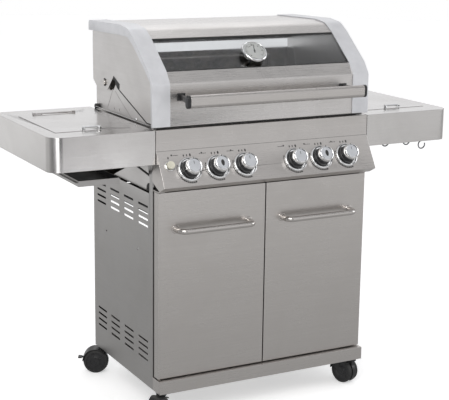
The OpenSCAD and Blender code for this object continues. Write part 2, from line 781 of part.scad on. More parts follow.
module drip_tray() color(steel) mirror([1, 0, 0]) {
    difference() {
        block([drip_x0, drip_x1], [drip_y0, drip_y0 + drip_d], [drip_z, drip_z + drip_h]);
        block([drip_x0 + sheet, drip_x1 - sheet], [drip_y0 + sheet, drip_y0 + drip_d - sheet],
            [drip_z + sheet, drip_z + drip_h + 1]);
    }
    for (s = [-1, 1]) {
        x = s > 0 ? drip_x1 : drip_x0;
        block([x + (s > 0 ? -sheet : -6), x + (s > 0 ? 6 : sheet)], [drip_y0 + 6, drip_y0 + drip_d],
            [drip_z + 9.5 + body_gap, drip_z + 11]);
    }
}

// Wire hooks on a rail under the right shelf's front edge
hook_x = [for (x = [94.5, 172.5, 230.5]) shelf_x0 + x];
hook_drop = [14, 15, 31];
hook_r = 12;
module tool_hooks() color(chrome) {
    y = shelf_front + 37;
    rod_x(hook_x[0] - 20, hook_x[2] + 20, y, skirt_z + 16, 3);
    for (i = [0:2]) translate([hook_x[i], y, skirt_z + 13 - hook_drop[i]]) {
        rotate([90, 0, 0]) rotate([0, 0, 90])
            rotate_extrude(angle = 290) translate([hook_r, 0]) circle(hook_wire/2);
        translate([0, 0, hook_r]) cylinder(r = hook_wire/2, h = hook_drop[i] + 3 - hook_r);
    }
    for (x = [hook_x[0] - 18, hook_x[2] - 12])
        block([x - 4, x + 4], [shelf_front + sheet, y], [skirt_z + 14, skirt_z + 18]);
}

// ---------------------------------------------------------------- lid

lid_front_path = rounded([[lid_y, lid_low], bend_low, glass_low], [12]);
lid_top_path = rounded([glass_high, crown, top_front, top_back, back_low], [50, 120, 6]);

module lid_front_panel() color(steel) {
    w = lid_side_x;
    along_x(-w, w) polygon(strip(lid_front_path, -sheet, 0));
    block([-w, w], [lid_y, lid_y + 14], [lid_low, lid_low + sheet]);
}

module lid_top_panel() color(steel)
    along_x(-lid_side_x, lid_side_x) polygon(strip(lid_top_path, -sheet, 0));

lid_side_drop = 4;
module lid_side() along_x(lid_side_x, lid_side_x + sheet) difference() {
    polygon(concat(
        shifted(concat(lid_front_path, lid_top_path), -0.2),
        [
            [lid_back, hinge[1] - 1], [lid_back - 30, hinge[1] - 21], [peak[0] + 58, hinge[1] - 21],
            [peak[0] + 2, peak[1] + 10], [peak[0] - 10, peak[1] + 8],
            [side_front + 44, lid_low + lid_side_drop], [lid_y + 4, lid_low + lid_side_drop]
        ]
    ));
    translate(hinge) circle(hinge_r + run_fit);
}
module lid_sides() color(steel) both_sides() lid_side();

// Cast end cap: a band over the lid's edge, with a flange that widens towards the back
module lid_cap() {
    x0 = lid_hw - cap_w;
    low = top_back[1] - 26;
    end = top_back + (back_low - top_back)*26/(top_back[1] - back_low[1]);
    path = concat(lid_front_path, [for (i = [0:len(lid_top_path) - 2]) lid_top_path[i]], [end]);
    flange = [
        [lid_back, low], [top_front[0], top_front[1] - 26], [crown[0], crown[1] - 21],
        [glass_high[0], glass_high[1] - 18], [glass_low[0] + 20, glass_low[1] + 3],
        [bend_low[0] + 10, bend_low[1] + 6], [bend_low[0] + 6, bend_low[1] - 8], [lid_y + 6, lid_low]
    ];
    along_x(x0, lid_hw) polygon(strip(path, 0, cap_t));
    along_x(lid_hw - cap_t, lid_hw) polygon(concat(shifted(path, cap_t), flange));
}
module lid_caps() color(cast_alloy) both_sides() lid_cap();

glass_x = lid_hw - cap_w;
glass_l = norm([glass_run, glass_rise]);
module lid_glass() color([0.25, 0.28, 0.30, 0.6]) on_glass(0, 0)
    difference() {
        translate([-lid_side_x, 0, -glass_t - sheet]) cube([2*lid_side_x, glass_l, glass_t]);
        translate([gauge_x, gauge_along, -20]) cylinder(r = 8, h = 40);
    }

module glass_gasket() color(black) on_glass(0, 0) {
    block([-glass_x, glass_x], [glass_l - 7.5, glass_l - 0.5], [-sheet, 0]);
    block([-glass_x, glass_x], [0.5, 3.5], [-sheet, 0]);
}

module thermometer() color(chrome) on_glass(gauge_x, gauge_along) difference() {
    union() {
        translate([0, 0, -sheet]) cylinder(r = 16, h = 8);
        translate([0, 0, 6]) rotate_extrude() polygon([
            [0, 0], [gauge_d/2 - 6, 0], [gauge_d/2, 6], [gauge_d/2, 12], [gauge_d/2 - 4, 15],
            [gauge_d/2 - 6, 12.5], [0, 12.5]
        ]);
        translate([0, 0, -60]) cylinder(r = 3.5, h = 62);
        translate([0, 0, -14]) cylinder(r = 8, h = 14);
    }
    translate([0, 0, -90]) cylinder(r = 1, h = 20);
}

module oval_2d(h, d) {
    square([d, h - d], center = true);
    for (s = [-1, 1]) translate([0, s*(h - d)/2]) circle(d = d);
}

module lid_handle() color(chrome) difference() {
    along_x(-grip_hw, grip_hw) translate([grip_y, grip_z]) oval_2d(grip_h, grip_d);
    along_x(-grip_hw - 1, grip_hw + 1) translate([grip_y, grip_z]) oval_2d(grip_h - 4, grip_d - 4);
}

module handle_brackets() color(black) both_sides() {
    face_y = lid_y + 2*(grip_z - 9 - lid_low)/lid_front_h;
    along_x(grip_hw, grip_hw + 9) translate([grip_y, grip_z]) oval_2d(grip_h + 1, grip_d);
    along_x(grip_hw - 6, grip_hw) translate([grip_y, grip_z]) oval_2d(grip_h - 4.2, grip_d - 4.2);
    block([grip_hw, grip_hw + 9], [grip_y, face_y], [grip_z - 1, grip_z + 14]);
    block([grip_hw - 8, glass_x - 0.5], [lid_y - 3, face_y], [grip_z - 9, grip_z + 20]);
}

// ---------------------------------------------------------------- castors

function castor_at(i) = [swing[i][0]*castor_x, castor_y[swing[i][1]]];

// Puts children at a castor's swivel, turned so that +X points from the swivel to the axle
module at_castor(i) translate(castor_at(i)) rotate(swing[i][2]) children();

// Puts children at the axle, turned so that +Z runs along it
module at_axle() translate([castor_trail, 0, axle_z]) rotate([90, 0, 0]) children();

mount_r = 17;
swivel_r = 5;
module castor_plates() color([0.3, 0.3, 0.3]) for (i = [0:3]) at_castor(i) difference() {
    translate([0, 0, castor_h - plate_t]) cylinder(r = mount_r, h = plate_t);
    translate([0, 0, castor_h - plate_t - 1]) cylinder(r = swivel_r + run_fit, h = 2*plate_t);
}

axle_r = 4;
pedal_w = 7;
pedal_pin = [27, 9.5];
hood_top = axle_z + hood_r + 1.5;

// Fork between the two wheels, with a hood over their top and back
module castor_fork(i) color(black) at_castor(i) {
    race_z = castor_h - plate_t - body_gap;
    translate([0, 0, race_z - 2]) cylinder(r = swivel_r, h = plate_t + 2);
    translate([0, 0, hood_top - 4]) cylinder(r = mount_r - 2, h = race_z - hood_top + 4);
    difference() {
        union() {
            at_axle() translate([0, 0, -fork_w/2]) cylinder(r = hood_r, h = fork_w);
            block([-9, castor_trail], [-fork_w/2, fork_w/2], [axle_z - 6, hood_top - 2]);
            difference() {
                at_axle() translate([0, 0, -hood_end]) cylinder(r = hood_r + 1.5, h = 2*hood_end);
                at_axle() translate([0, 0, -60]) cylinder(r = hood_r - 1, h = 120);
                block([-100, castor_trail - 26], [-100, 100], [-1, 200]);
                block([-100, 100], [-100, 100], [-50, axle_z + 2]);
            }
        }
        at_axle() translate([0, 0, -50]) cylinder(r = axle_r + run_fit, h = 100);
        block([-100, 200], [-50, 50], [-20, 9]);
        if (i > 1) {
            block([castor_trail + 20, 200], [-pedal_w/2 - body_gap, pedal_w/2 + body_gap], [axle_z - 4, axle_z + 17]);
            at_axle() translate([pedal_pin[0], pedal_pin[1], -20]) cylinder(r = 1.5 + run_fit, h = 40);
        }
    }
}

module castor_wheels(i) color(black) at_castor(i) at_axle() {
    for (s = [0, 1]) mirror([0, 0, s]) translate([0, 0, fork_w/2 + body_gap]) rotate_extrude() polygon([
        [0, 0], [wheel_d/2 - 2, 0], [wheel_d/2, 2.5], [wheel_d/2, wheel_t - 5],
        [wheel_d/2 - 5, wheel_t - 1.2], [wheel_d/2 - 8, wheel_t - 1.2], [0, wheel_t]
    ]);
    translate([0, 0, -fork_w/2 - 2]) cylinder(r = axle_r, h = fork_w + 4);
}

// Lever that locks the wheels of a back castor when it is trodden down
module brake_pedal(i) color(black) at_castor(i) {
    block([castor_trail + pedal_pin[0] - 3, castor_trail + hood_r + 16], [-pedal_w/2, pedal_w/2],
        [axle_z + pedal_pin[1] - 2.5, axle_z + pedal_pin[1] + 2.5]);
    block([castor_trail + hood_r + 4, castor_trail + hood_r + 16], [-9, 9],
        [axle_z + pedal_pin[1] - 2.5, axle_z + pedal_pin[1] + 2.5]);
    at_axle() translate([pedal_pin[0], pedal_pin[1], -fork_w/2]) cylinder(r = 1.5, h = fork_w);
}

module castor_fork_fl() castor_fork(0);
module castor_fork_fr() castor_fork(1);
module castor_fork_rl() castor_fork(2);
module castor_fork_rr() castor_fork(3);
module castor_wheels_fl() castor_wheels(0);
module castor_wheels_fr() castor_wheels(1);
module castor_wheels_rl() castor_wheels(2);
module castor_wheels_rr() castor_wheels(3);
module brake_pedal_rl() brake_pedal(2);
module brake_pedal_rr() brake_pedal(3);

module put() translate([0, -y_mid, 0]) children();
put() side_panels();
put() rear_frame();
put() back_panel();
put() cabinet_floor();
put() base_bar();
put() header_rail();
put() firebox();
put() firebox_sides();
put() rear_burner();
put() main_burners();
put() flame_tamers();
put() cooking_grates();
put() warming_rack();
put() gas_manifold();
put() control_panel();
put() knob_bezels();
put() shelf_left();
put() shelf_right();
put() shelf_brackets();
put() side_burner();
put() side_burner_grate();
put() condiment_pan();
put() tool_hooks();
put() hinge_bolts();
put() lid_bumpers();
put() castor_plates();
put() grease_tray();
put() drip_tray();
put() door_left();
put() door_right();
put() door_handle_left();
put() door_handle_right();
put() lid_front_panel();
put() lid_top_panel();
put() lid_sides();
put() lid_caps();
put() lid_glass();
put() glass_gasket();
put() thermometer();
put() lid_handle();
put() handle_brackets();
put() knob_1();
put() knob_2();
put() knob_3();
put() knob_4();
put() knob_5();
put() knob_6();
put() ignition_button();
put() side_burner_lid();
put() condiment_lid();
put() castor_fork_fl();
put() castor_fork_fr();
put() castor_fork_rl();
put() castor_fork_rr();
put() castor_wheels_fl();
put() castor_wheels_fr();
put() castor_wheels_rl();
put() castor_wheels_rr();
put() brake_pedal_rl();
put() brake_pedal_rr();
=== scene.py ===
import json
import math

import bmesh
import bpy
from mathutils import Matrix, Vector

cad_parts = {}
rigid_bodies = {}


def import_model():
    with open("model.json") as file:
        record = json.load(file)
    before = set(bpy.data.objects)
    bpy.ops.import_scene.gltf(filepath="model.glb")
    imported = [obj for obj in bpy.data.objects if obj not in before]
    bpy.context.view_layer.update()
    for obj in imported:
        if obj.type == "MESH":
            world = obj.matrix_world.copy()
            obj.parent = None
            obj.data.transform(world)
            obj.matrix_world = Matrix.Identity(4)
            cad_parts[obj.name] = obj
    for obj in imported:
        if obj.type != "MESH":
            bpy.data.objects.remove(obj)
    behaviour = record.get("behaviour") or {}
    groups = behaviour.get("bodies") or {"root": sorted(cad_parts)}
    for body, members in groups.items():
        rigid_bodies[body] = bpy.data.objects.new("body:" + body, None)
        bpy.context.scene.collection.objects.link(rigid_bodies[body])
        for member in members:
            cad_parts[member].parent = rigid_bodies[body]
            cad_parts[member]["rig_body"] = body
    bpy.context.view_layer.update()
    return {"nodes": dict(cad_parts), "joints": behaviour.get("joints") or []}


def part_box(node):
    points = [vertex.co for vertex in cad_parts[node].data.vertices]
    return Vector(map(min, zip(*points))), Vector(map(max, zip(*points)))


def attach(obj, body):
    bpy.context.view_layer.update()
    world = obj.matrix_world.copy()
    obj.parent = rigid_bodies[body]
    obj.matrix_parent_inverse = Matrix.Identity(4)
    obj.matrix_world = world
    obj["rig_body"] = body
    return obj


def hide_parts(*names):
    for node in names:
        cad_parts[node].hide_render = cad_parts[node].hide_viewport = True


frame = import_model()

# ---------------------------------------------------------------- camera, floor and studio light
# A long lens stands to the left of the grill, above the work top. The floor is white and plain.
# A big soft box hangs in front of the grill, with weaker ones to its right and behind it.
heading, dip, roll = math.radians(28.18), math.radians(13.05), math.radians(0.79)
ahead = Vector((math.sin(heading) * math.cos(dip), math.cos(heading) * math.cos(dip), -math.sin(dip)))
level = Vector((math.cos(heading), -math.sin(heading), 0))
upright = level.cross(ahead)
camera_right = level * math.cos(roll) + upright * math.sin(roll)
camera_up = upright * math.cos(roll) - level * math.sin(roll)
camera_data = bpy.data.cameras.new("camera")
camera_data.lens = 98.8
camera_data.sensor_width = 36
camera = bpy.data.objects.new("camera", camera_data)
eye = (-1.7205, -3.1693, 1.405)
camera.matrix_world = Matrix.Translation(eye) @ Matrix((camera_right, camera_up, -ahead)).transposed().to_4x4()
bpy.context.scene.collection.objects.link(camera)
bpy.context.scene.camera = camera
bpy.context.scene.view_settings.view_transform = "Standard"


def wire(tree, start, end):
    tree.links.new(start, end)


def node(tree, kind, **settings):
    """A new shader node with its settings and its plain input values set."""
    made = tree.nodes.new(kind)
    for key, value in settings.items():
        if key in made.bl_rna.properties:
            setattr(made, key, value)
        else:
            made.inputs[key.replace("_", " ")].default_value = value
    return made


def rgba(colour):
    """A colour with its alpha, from three numbers or from one for a grey."""
    return (*(colour if isinstance(colour, tuple) else (colour,) * 3), 1)


def ramp(tree, source, *stops):
    """A colour ramp through (place, colour) stops."""
    made = tree.nodes.new("ShaderNodeValToRGB")
    while len(made.color_ramp.elements) < len(stops):
        made.color_ramp.elements.new(0.5)
    for element, (place, colour) in zip(made.color_ramp.elements, stops):
        element.position = place
        element.color = rgba(colour)
    wire(tree, source, made.inputs["Fac"])
    return made.outputs["Color"]


def sums(tree, operation, *values):
    """A Math node on numbers or sockets."""
    made = node(tree, "ShaderNodeMath", operation=operation)
    for socket, value in zip(made.inputs, values):
        if isinstance(value, (int, float)):
            socket.default_value = value
        else:
            wire(tree, value, socket)
    return made.outputs["Value"]


def ranged(tree, value, low, high, new_low=0.0, new_high=1.0):
    """A value carried from one range to another, and held within it."""
    made = node(tree, "ShaderNodeMapRange", From_Min=low, From_Max=high, To_Min=new_low, To_Max=new_high)
    wire(tree, value, made.inputs["Value"])
    return made.outputs["Result"]


def blended(tree, factor, a, b, way="MIX"):
    """Two colours mixed or multiplied, by a number or a mask."""
    made = node(tree, "ShaderNodeMix", data_type="RGBA", blend_type=way)
    if isinstance(factor, (int, float)):
        made.inputs["Factor"].default_value = factor
    else:
        wire(tree, factor, made.inputs["Factor"])
    for key, value in (("A", a), ("B", b)):
        if isinstance(value, (tuple, float)):
            made.inputs[key].default_value = rgba(value)
        else:
            wire(tree, value, made.inputs[key])
    return made.outputs["Result"]


def own_place(tree):
    """Where a point lies on its own object, in metres."""
    return node(tree, "ShaderNodeTexCoord").outputs["Object"]


def surface(name, metallic=0.0, roughness=0.5, **settings):
    """A new material, its node tree and its shader, with the shader's plain values set."""
    material = bpy.data.materials.new(name)
    material.use_nodes = True
    shader = material.node_tree.nodes["Principled BSDF"]
    shader.inputs["Metallic"].default_value = metallic
    shader.inputs["Roughness"].default_value = roughness
    for key, value in settings.items():
        shader.inputs[key.replace("_", " ")].default_value = value
    return material, material.node_tree, shader


# What the metal mirrors: a grey studio in front, a bright wall behind, and a darker left side
world = bpy.data.worlds.new("studio")
bpy.context.scene.world = world
world.use_nodes = True
tree = world.node_tree
sky = tree.nodes["Background"]
looking = node(tree, "ShaderNodeSeparateXYZ")
wire(tree, node(tree, "ShaderNodeTexCoord").outputs["Generated"], looking.inputs["Vector"])
walls = ramp(tree, ranged(tree, looking.outputs["Y"], -1.0, 1.0), (0.5, (0.74, 0.74, 0.75)),
             (0.8, (0.88, 0.88, 0.89)))
sides = ramp(tree, ranged(tree, looking.outputs["X"], -1.0, 1.0), (0.0, 0.50), (0.24, 0.95), (0.8, 1.0), (1.0, 0.85))
# dark gaps between the studio's panels, which give bright plating its contrast
round_it = sums(tree, "ARCTAN2", looking.outputs["X"], looking.outputs["Y"])
wave = sums(tree, "SINE", sums(tree, "MULTIPLY_ADD", round_it, 6.0, 0.6))
gaps = ramp(tree, wave, (0.70, 1.04), (0.85, 0.22), (1.0, 0.18))
mirrored = blended(tree, 1.0, blended(tree, 1.0, walls, sides, "MULTIPLY"), gaps, "MULTIPLY")
rays = node(tree, "ShaderNodeLightPath").outputs
wire(tree, blended(tree, rays["Is Camera Ray"], mirrored, 1.0), sky.inputs["Color"])

# The floor is lit white where it is seen, and glows in grey bands where metal mirrors it
floor_material, tree, shader = surface("white_floor", 0.0, 0.9, Specular_IOR_Level=0.1)
floor_material.cycles.emission_sampling = "NONE"
place = node(tree, "ShaderNodeSeparateXYZ")
wire(tree, own_place(tree), place.inputs["Vector"])
x, y = place.outputs["X"], place.outputs["Y"]
front_to_back = ramp(tree, ranged(tree, y, -5.0, 5.0), (0.0, 0.74), (0.17, 0.76), (0.24, 0.65), (0.32, 0.53),
                     (0.48, 0.43), (0.65, 0.50), (0.82, 0.70), (0.9, 0.86))
bearing = sums(tree, "ARCTAN2", x, sums(tree, "MULTIPLY", y, -1.0))
round_about = ramp(tree, ranged(tree, bearing, -math.pi, math.pi), (0.17, 1.0), (0.22, 1.3), (0.30, 0.5),
                   (0.37, 0.15), (0.40, 3.6), (0.43, 3.4), (0.455, 0.10), (0.51, 0.12), (0.535, 1.0))
reach = node(tree, "ShaderNodeVectorMath", operation="LENGTH")
wire(tree, own_place(tree), reach.inputs[0])
bands = blended(tree, ranged(tree, reach.outputs["Value"], 2.4, 3.2), front_to_back, round_about, "MULTIPLY")
# a bright patch that only the left shelf's front mirrors
across = ranged(tree, x, 1.10, 0.92)
deep = sums(tree, "MULTIPLY", ranged(tree, y, -2.85, -3.05), ranged(tree, y, -3.75, -3.55))
bands = blended(tree, sums(tree, "MULTIPLY", across, deep), bands, (1.6, 1.6, 1.65))
rays = node(tree, "ShaderNodeLightPath").outputs
wire(tree, blended(tree, rays["Is Glossy Ray"], 0.93, 0.0), shader.inputs["Base Color"])
# painted light: the floor glows at 0.42 where it is seen, and at 1.5 where it is seen through glass
white = blended(tree, rays["Is Transmission Ray"], 0.42, 1.5)
wire(tree, blended(tree, rays["Is Glossy Ray"], white, bands), shader.inputs["Emission Color"])
wire(tree, sums(tree, "SUBTRACT", 1.0, rays["Is Diffuse Ray"]), shader.inputs["Emission Strength"])

bm = bmesh.new()
bmesh.ops.create_circle(bm, cap_ends=True, segments=96, radius=14)
floor_mesh = bpy.data.meshes.new("floor")
bm.to_mesh(floor_mesh)
bm.free()
floor_mesh.materials.append(floor_material)
floor = bpy.data.objects.new("floor", floor_mesh)
bpy.context.scene.collection.objects.link(floor)

for name, spot, aim, size, power, tint in (
    ("key_box", (-2.2, -2.6, 3.0), (0, 0, 0.6), 2.2, 62, (1.0, 0.99, 0.97)),
    ("fill_box", (3.2, -1.0, 1.5), (0, 0, 0.6), 1.8, 18, (0.97, 0.98, 1.0)),
    ("back_box", (0.6, 2.6, 3.4), (0, 0, 0.8), 3.0, 10, (1.0, 1.0, 1.0)),
):
    lamp = bpy.data.lights.new(name, "AREA")
    lamp.shape = "SQUARE"
    lamp.size = size
    lamp.energy = power
    lamp.color = tint
    box = bpy.data.objects.new(name, lamp)
    box.matrix_world = Matrix.Translation(spot) @ (Vector(aim) - Vector(spot)).to_track_quat(
        "-Z", "Y").to_matrix().to_4x4()
    bpy.context.scene.collection.objects.link(box)

# ---------------------------------------------------------------- castors
# Four twin-wheel castors of glossy black nylon with rubber treads, each under a zinc plate that
# is bolted to the base. The two at the back have a lever that locks the wheels.


def joined(name):
    """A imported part's mesh with its corners joined and its flat areas made whole."""
    bm = bmesh.new()
    bm.from_mesh(frame["nodes"][name].data)
    bmesh.ops.remove_doubles(bm, verts=bm.verts, dist=2e-6)
    bmesh.ops.dissolve_limit(bm, angle_limit=math.radians(0.4), verts=bm.verts, edges=bm.edges)
    return bm


def turned(profile, turn=None, steps=48):
    """A shape turned on a lathe about Z from (radius, height) points in mm, closed at both ends."""
    bm = bmesh.new()
    verts = [bm.verts.new((r / 1000, 0, z / 1000)) for r, z in profile]
    edges = [bm.edges.new(pair) for pair in zip(verts, verts[1:])]
    bmesh.ops.spin(bm, geom=verts + edges, cent=(0, 0, 0), axis=(0, 0, 1), angle=2 * math.pi,
                   steps=steps, use_merge=True)
    bmesh.ops.remove_doubles(bm, verts=bm.verts, dist=1e-6)
    open_ends = [e for e in bm.edges if e.is_boundary]
    if open_ends:
        bmesh.ops.holes_fill(bm, edges=open_ends)
    bmesh.ops.recalc_face_normals(bm, faces=bm.faces)
    if turn is not None:
        bmesh.ops.transform(bm, matrix=turn, verts=bm.verts)
    return bm


def axes(origin, z, x=(1, 0, 0)):
    """A frame at origin whose Z runs along z and whose X lies towards x."""
    z = Vector(z).normalized()
    y = z.cross(Vector(x)).normalized()
    x = y.cross(z)
    return Matrix.Translation(origin) @ Matrix((x, y, z)).transposed().to_4x4()


def added(bm, other):
    """Puts the faces of other into bm."""
    spare = bpy.data.meshes.new("spare")
    other.to_mesh(spare)
    other.free()
    bm.from_mesh(spare)
    bpy.data.meshes.remove(spare)
    return bm


def brick(bm, low, high, turn=None, ease=0.0):
    """A block between two corners, with eased edges."""
    low, high = Vector(low), Vector(high)
    made = bmesh.ops.create_cube(bm, size=1, matrix=Matrix.Translation((low + high) / 2)
                                 @ Matrix.Diagonal((*(high - low), 1)))
    verts = made["verts"]
    if turn is not None:
        bmesh.ops.transform(bm, matrix=turn, verts=verts)
    if ease:
        edges = list({e for v in verts for e in v.link_edges})
        bmesh.ops.bevel(bm, geom=edges, offset=ease, affect="EDGES", segments=2, profile=0.5, material=-1)


def finished(bm, name, part, slot, materials, replaces=(), ease=0.0, pick=None, sharp=32):
    """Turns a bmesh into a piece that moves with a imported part, with its sharp edges eased."""
    mesh = bpy.data.meshes.new(name)
    if pick is not None:
        for face in bm.faces:
            face.material_index = pick(face)
    bm.to_mesh(mesh)
    bm.free()
    for material in materials:
        mesh.materials.append(material)
    mesh.shade_smooth()
    mesh.set_sharp_from_angle(angle=math.radians(sharp))
    piece = bpy.data.objects.new(name, mesh)
    bpy.context.scene.collection.objects.link(piece)
    if ease:
        bevel = piece.modifiers.new("eased_edges", "BEVEL")
        bevel.width = ease
        bevel.segments = 2
        bevel.limit_method = "ANGLE"
        bevel.angle_limit = math.radians(40)
        bevel.use_clamp_overlap = False
        bevel.harden_normals = True
        bevel.miter_outer = "MITER_ARC"
    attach(piece, frame["nodes"][part]["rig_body"])
    if replaces:
        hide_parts(*replaces)
    return piece


def kept(part, name, slot, materials, ease=0.0, **settings):
    """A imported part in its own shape, as a piece."""
    return finished(joined(part), name, part, slot, materials, [part], ease, **settings)


def effect(name, inputs, outputs):
    """An empty node group with named sockets, and its input and output nodes."""
    group = bpy.data.node_groups.new(name, "ShaderNodeTree")
    for kind, label, value in inputs:
        socket = group.interface.new_socket(label, in_out="INPUT", socket_type=kind)
        socket.default_value = value
    for kind, label in outputs:
        group.interface.new_socket(label, in_out="OUTPUT", socket_type=kind)
    return group, group.nodes.new("NodeGroupInput"), group.nodes.new("NodeGroupOutput")


def placed(tree, group, **values):
    """A node group put into a material, with its own values."""
    made = tree.nodes.new("ShaderNodeGroup")
    made.node_tree = group
    for key, value in values.items():
        made.inputs[key.replace("_", " ")].default_value = value
    return made


def noise(tree, vector, scale, detail=2.0, roughness=0.5):
    made = node(tree, "ShaderNodeTexNoise", Scale=scale, Detail=detail, Roughness=roughness)
    wire(tree, vector, made.inputs["Vector"])
    return made.outputs["Fac"]


def raised(tree, shader, height, depth):
    """Lets a height push the shading normal."""
    bump = node(tree, "ShaderNodeBump", Distance=depth, Strength=1.0)
    wire(tree, height, bump.inputs["Height"])
    wire(tree, bump.outputs["Normal"], shader.inputs["Normal"])


# Moulded or cast skin: a fine pebble that is felt more than seen, and slow patches of tone
cast_skin, source, result = effect("cast_skin", [("NodeSocketFloat", "Pebble", 900.0)],
                                   [("NodeSocketFloat", "Height"), ("NodeSocketFloat", "Mottle")])
spot = own_place(cast_skin)
fine = node(cast_skin, "ShaderNodeTexNoise", Detail=3.0, Roughness=0.6)
wire(cast_skin, spot, fine.inputs["Vector"])
wire(cast_skin, source.outputs["Pebble"], fine.inputs["Scale"])
wire(cast_skin, fine.outputs["Fac"], result.inputs["Height"])
wire(cast_skin, noise(cast_skin, spot, 38, 4), result.inputs["Mottle"])

# Dust that settles on faces that look up, in uneven patches
settled_dust, source, result = effect("settled_dust", [("NodeSocketFloat", "Amount", 0.5)],
                                      [("NodeSocketFloat", "Dust")])
facing = node(settled_dust, "ShaderNodeSeparateXYZ")
wire(settled_dust, node(settled_dust, "ShaderNodeNewGeometry").outputs["Normal"], facing.inputs["Vector"])
up_share = ranged(settled_dust, facing.outputs["Z"], 0.1, 1.0)
patches = ranged(settled_dust, noise(settled_dust, own_place(settled_dust), 55, 5, 0.65), 0.35, 0.7)
layer = sums(settled_dust, "MULTIPLY", sums(settled_dust, "MULTIPLY", up_share, patches), source.outputs["Amount"])
wire(settled_dust, layer, result.inputs["Dust"])

# Corners that handling has rubbed: a mask along convex edges
rubbed_edges, source, result = effect(
    "rubbed_edges", [("NodeSocketFloat", "Width", 0.0015), ("NodeSocketFloat", "Amount", 1.0)],
    [("NodeSocketFloat", "Rub")])
round_normal = node(rubbed_edges, "ShaderNodeBevel", samples=4)
wire(rubbed_edges, source.outputs["Width"], round_normal.inputs["Radius"])
turned_by = node(rubbed_edges, "ShaderNodeVectorMath", operation="DOT_PRODUCT")
wire(rubbed_edges, round_normal.outputs["Normal"], turned_by.inputs[0])
wire(rubbed_edges, node(rubbed_edges, "ShaderNodeNewGeometry").outputs["Normal"], turned_by.inputs[1])
rub = ranged(rubbed_edges, turned_by.outputs["Value"], 0.98, 0.8)
broken = ranged(rubbed_edges, noise(rubbed_edges, own_place(rubbed_edges), 120, 4, 0.7), 0.35, 0.65, 0.2)
wire(rubbed_edges, sums(rubbed_edges, "MULTIPLY", sums(rubbed_edges, "MULTIPLY", rub, broken),
                        source.outputs["Amount"]), result.inputs["Rub"])


def black_skin(name, colour, roughness, pebble, depth, dust=0.25):
    """Black moulded plastic, rubber or powder coat: fine pebble, paler rubbed corners, dust on top."""
    material, tree, shader = surface(name, 0.0, roughness)
    skin = placed(tree, cast_skin, Pebble=pebble)
    tone = blended(tree, skin.outputs["Mottle"], tuple(c * 0.75 for c in colour), tuple(c * 1.35 for c in colour))
    rub = placed(tree, rubbed_edges, Width=0.0012, Amount=0.35)
    tone = blended(tree, rub.outputs["Rub"], tone, tuple(0.5 * c + 0.08 for c in colour))
    top = placed(tree, settled_dust, Amount=dust)
    tone = blended(tree, top.outputs["Dust"], tone, (0.20, 0.19, 0.175))
    wire(tree, tone, shader.inputs["Base Color"])
    rough = ranged(tree, skin.outputs["Mottle"], 0.3, 0.7, roughness - 0.06, roughness + 0.08)
    wire(tree, sums(tree, "ADD", rough, sums(tree, "MULTIPLY", top.outputs["Dust"], 0.4)),
         shader.inputs["Roughness"])
    raised(tree, shader, skin.outputs["Height"], depth)
    return material


def two_tone(name, metallic, roughness, pebble, dark, light, depth=0.0, **settings):
    """A material whose colour drifts between two tones, over a fine pebble."""
    material, tree, shader = surface(name, metallic, roughness, **settings)
    skin = placed(tree, cast_skin, Pebble=pebble)
    wire(tree, ramp(tree, skin.outputs["Mottle"], (0.3, dark), (0.7, light)), shader.inputs["Base Color"])
    if depth:
        raised(tree, shader, skin.outputs["Height"], depth)
    return material


nylon = black_skin("black_nylon", (0.016, 0.016, 0.017), 0.30, 1500, 0.00003)
tread_rubber = black_skin("tread_rubber", (0.022, 0.022, 0.022), 0.62, 2200, 0.00005, 0.4)
zinc = two_tone("zinc_plate", 1.0, 0.42, 420.0, (0.34, 0.35, 0.36), (0.52, 0.53, 0.54), 0.00004)

for corner in ("fl", "fr", "rl", "rr"):
    roll_joint = next(j for j in frame["joints"] if j["name"] == f"wheels_{corner}_roll")
    hub = axes(roll_joint["pos_m"], roll_joint["axis"], (0, 0, 1))
    kept(f"castor_fork_{corner}", f"castor_hood_{corner}", "black_plastic", [nylon], 0.0009)
    wheels = bmesh.new()
    for side in (1, -1):
        flip = hub if side == 1 else hub @ Matrix.Rotation(math.pi, 4, "X")
        wheel = turned([(0, 6.9), (33, 6.9), (35.2, 7.4), (36.8, 8.8), (37, 9.8), (37, 12.2), (36.5, 12.6),
                        (36.5, 13.2), (37, 13.6), (37, 16.6), (36.4, 18.6), (34.4, 20.4), (32, 20.9),
                        (29.6, 20.9), (29, 20.2), (28.4, 18.8), (26, 18.4), (15.5, 19.4), (14.6, 20.0),
                        (14, 21.3), (12.8, 21.7), (11, 21.4), (4, 21.8), (0, 21.9)], None, 64)
        # five shallow ribs from the hub to the rim
        for i in range(5):
            brick(wheel, (-0.0011, 0.0150, 0.0184), (0.0011, 0.0283, 0.0203),
                  Matrix.Rotation(i * math.tau / 5, 4, "Z"), 0.0004)
        bmesh.ops.transform(wheel, matrix=flip, verts=wheel.verts)
        added(wheels, wheel)
    added(wheels, turned([(0, -8.5), (4, -8.5), (4, 8.5), (0, 8.5)], hub, 24))
    centre, along = hub.translation, hub.to_3x3().col[2]

    def tyre(face):
        offset = face.calc_center_median() - centre
        return int((offset - along * offset.dot(along)).length > 0.0297)

    finished(wheels, f"castor_twin_wheels_{corner}", f"castor_wheels_{corner}", "rubber", [nylon, tread_rubber],
             [f"castor_wheels_{corner}"], pick=tyre)
    if corner in ("rl", "rr"):
        kept(f"brake_pedal_{corner}", f"brake_lever_{corner}", "black_plastic", [nylon], 0.0009)
kept("castor_plates", "castor_mounting_plates", "dark_paint", [zinc], 0.0005)

# ---------------------------------------------------------------- cabinet
# Side panels, floor and back of 1.5 mm stainless sheet, folded at their edges. The sides are
# brushed from front to back and pierced with vent slots. The back posts are powder-coated.

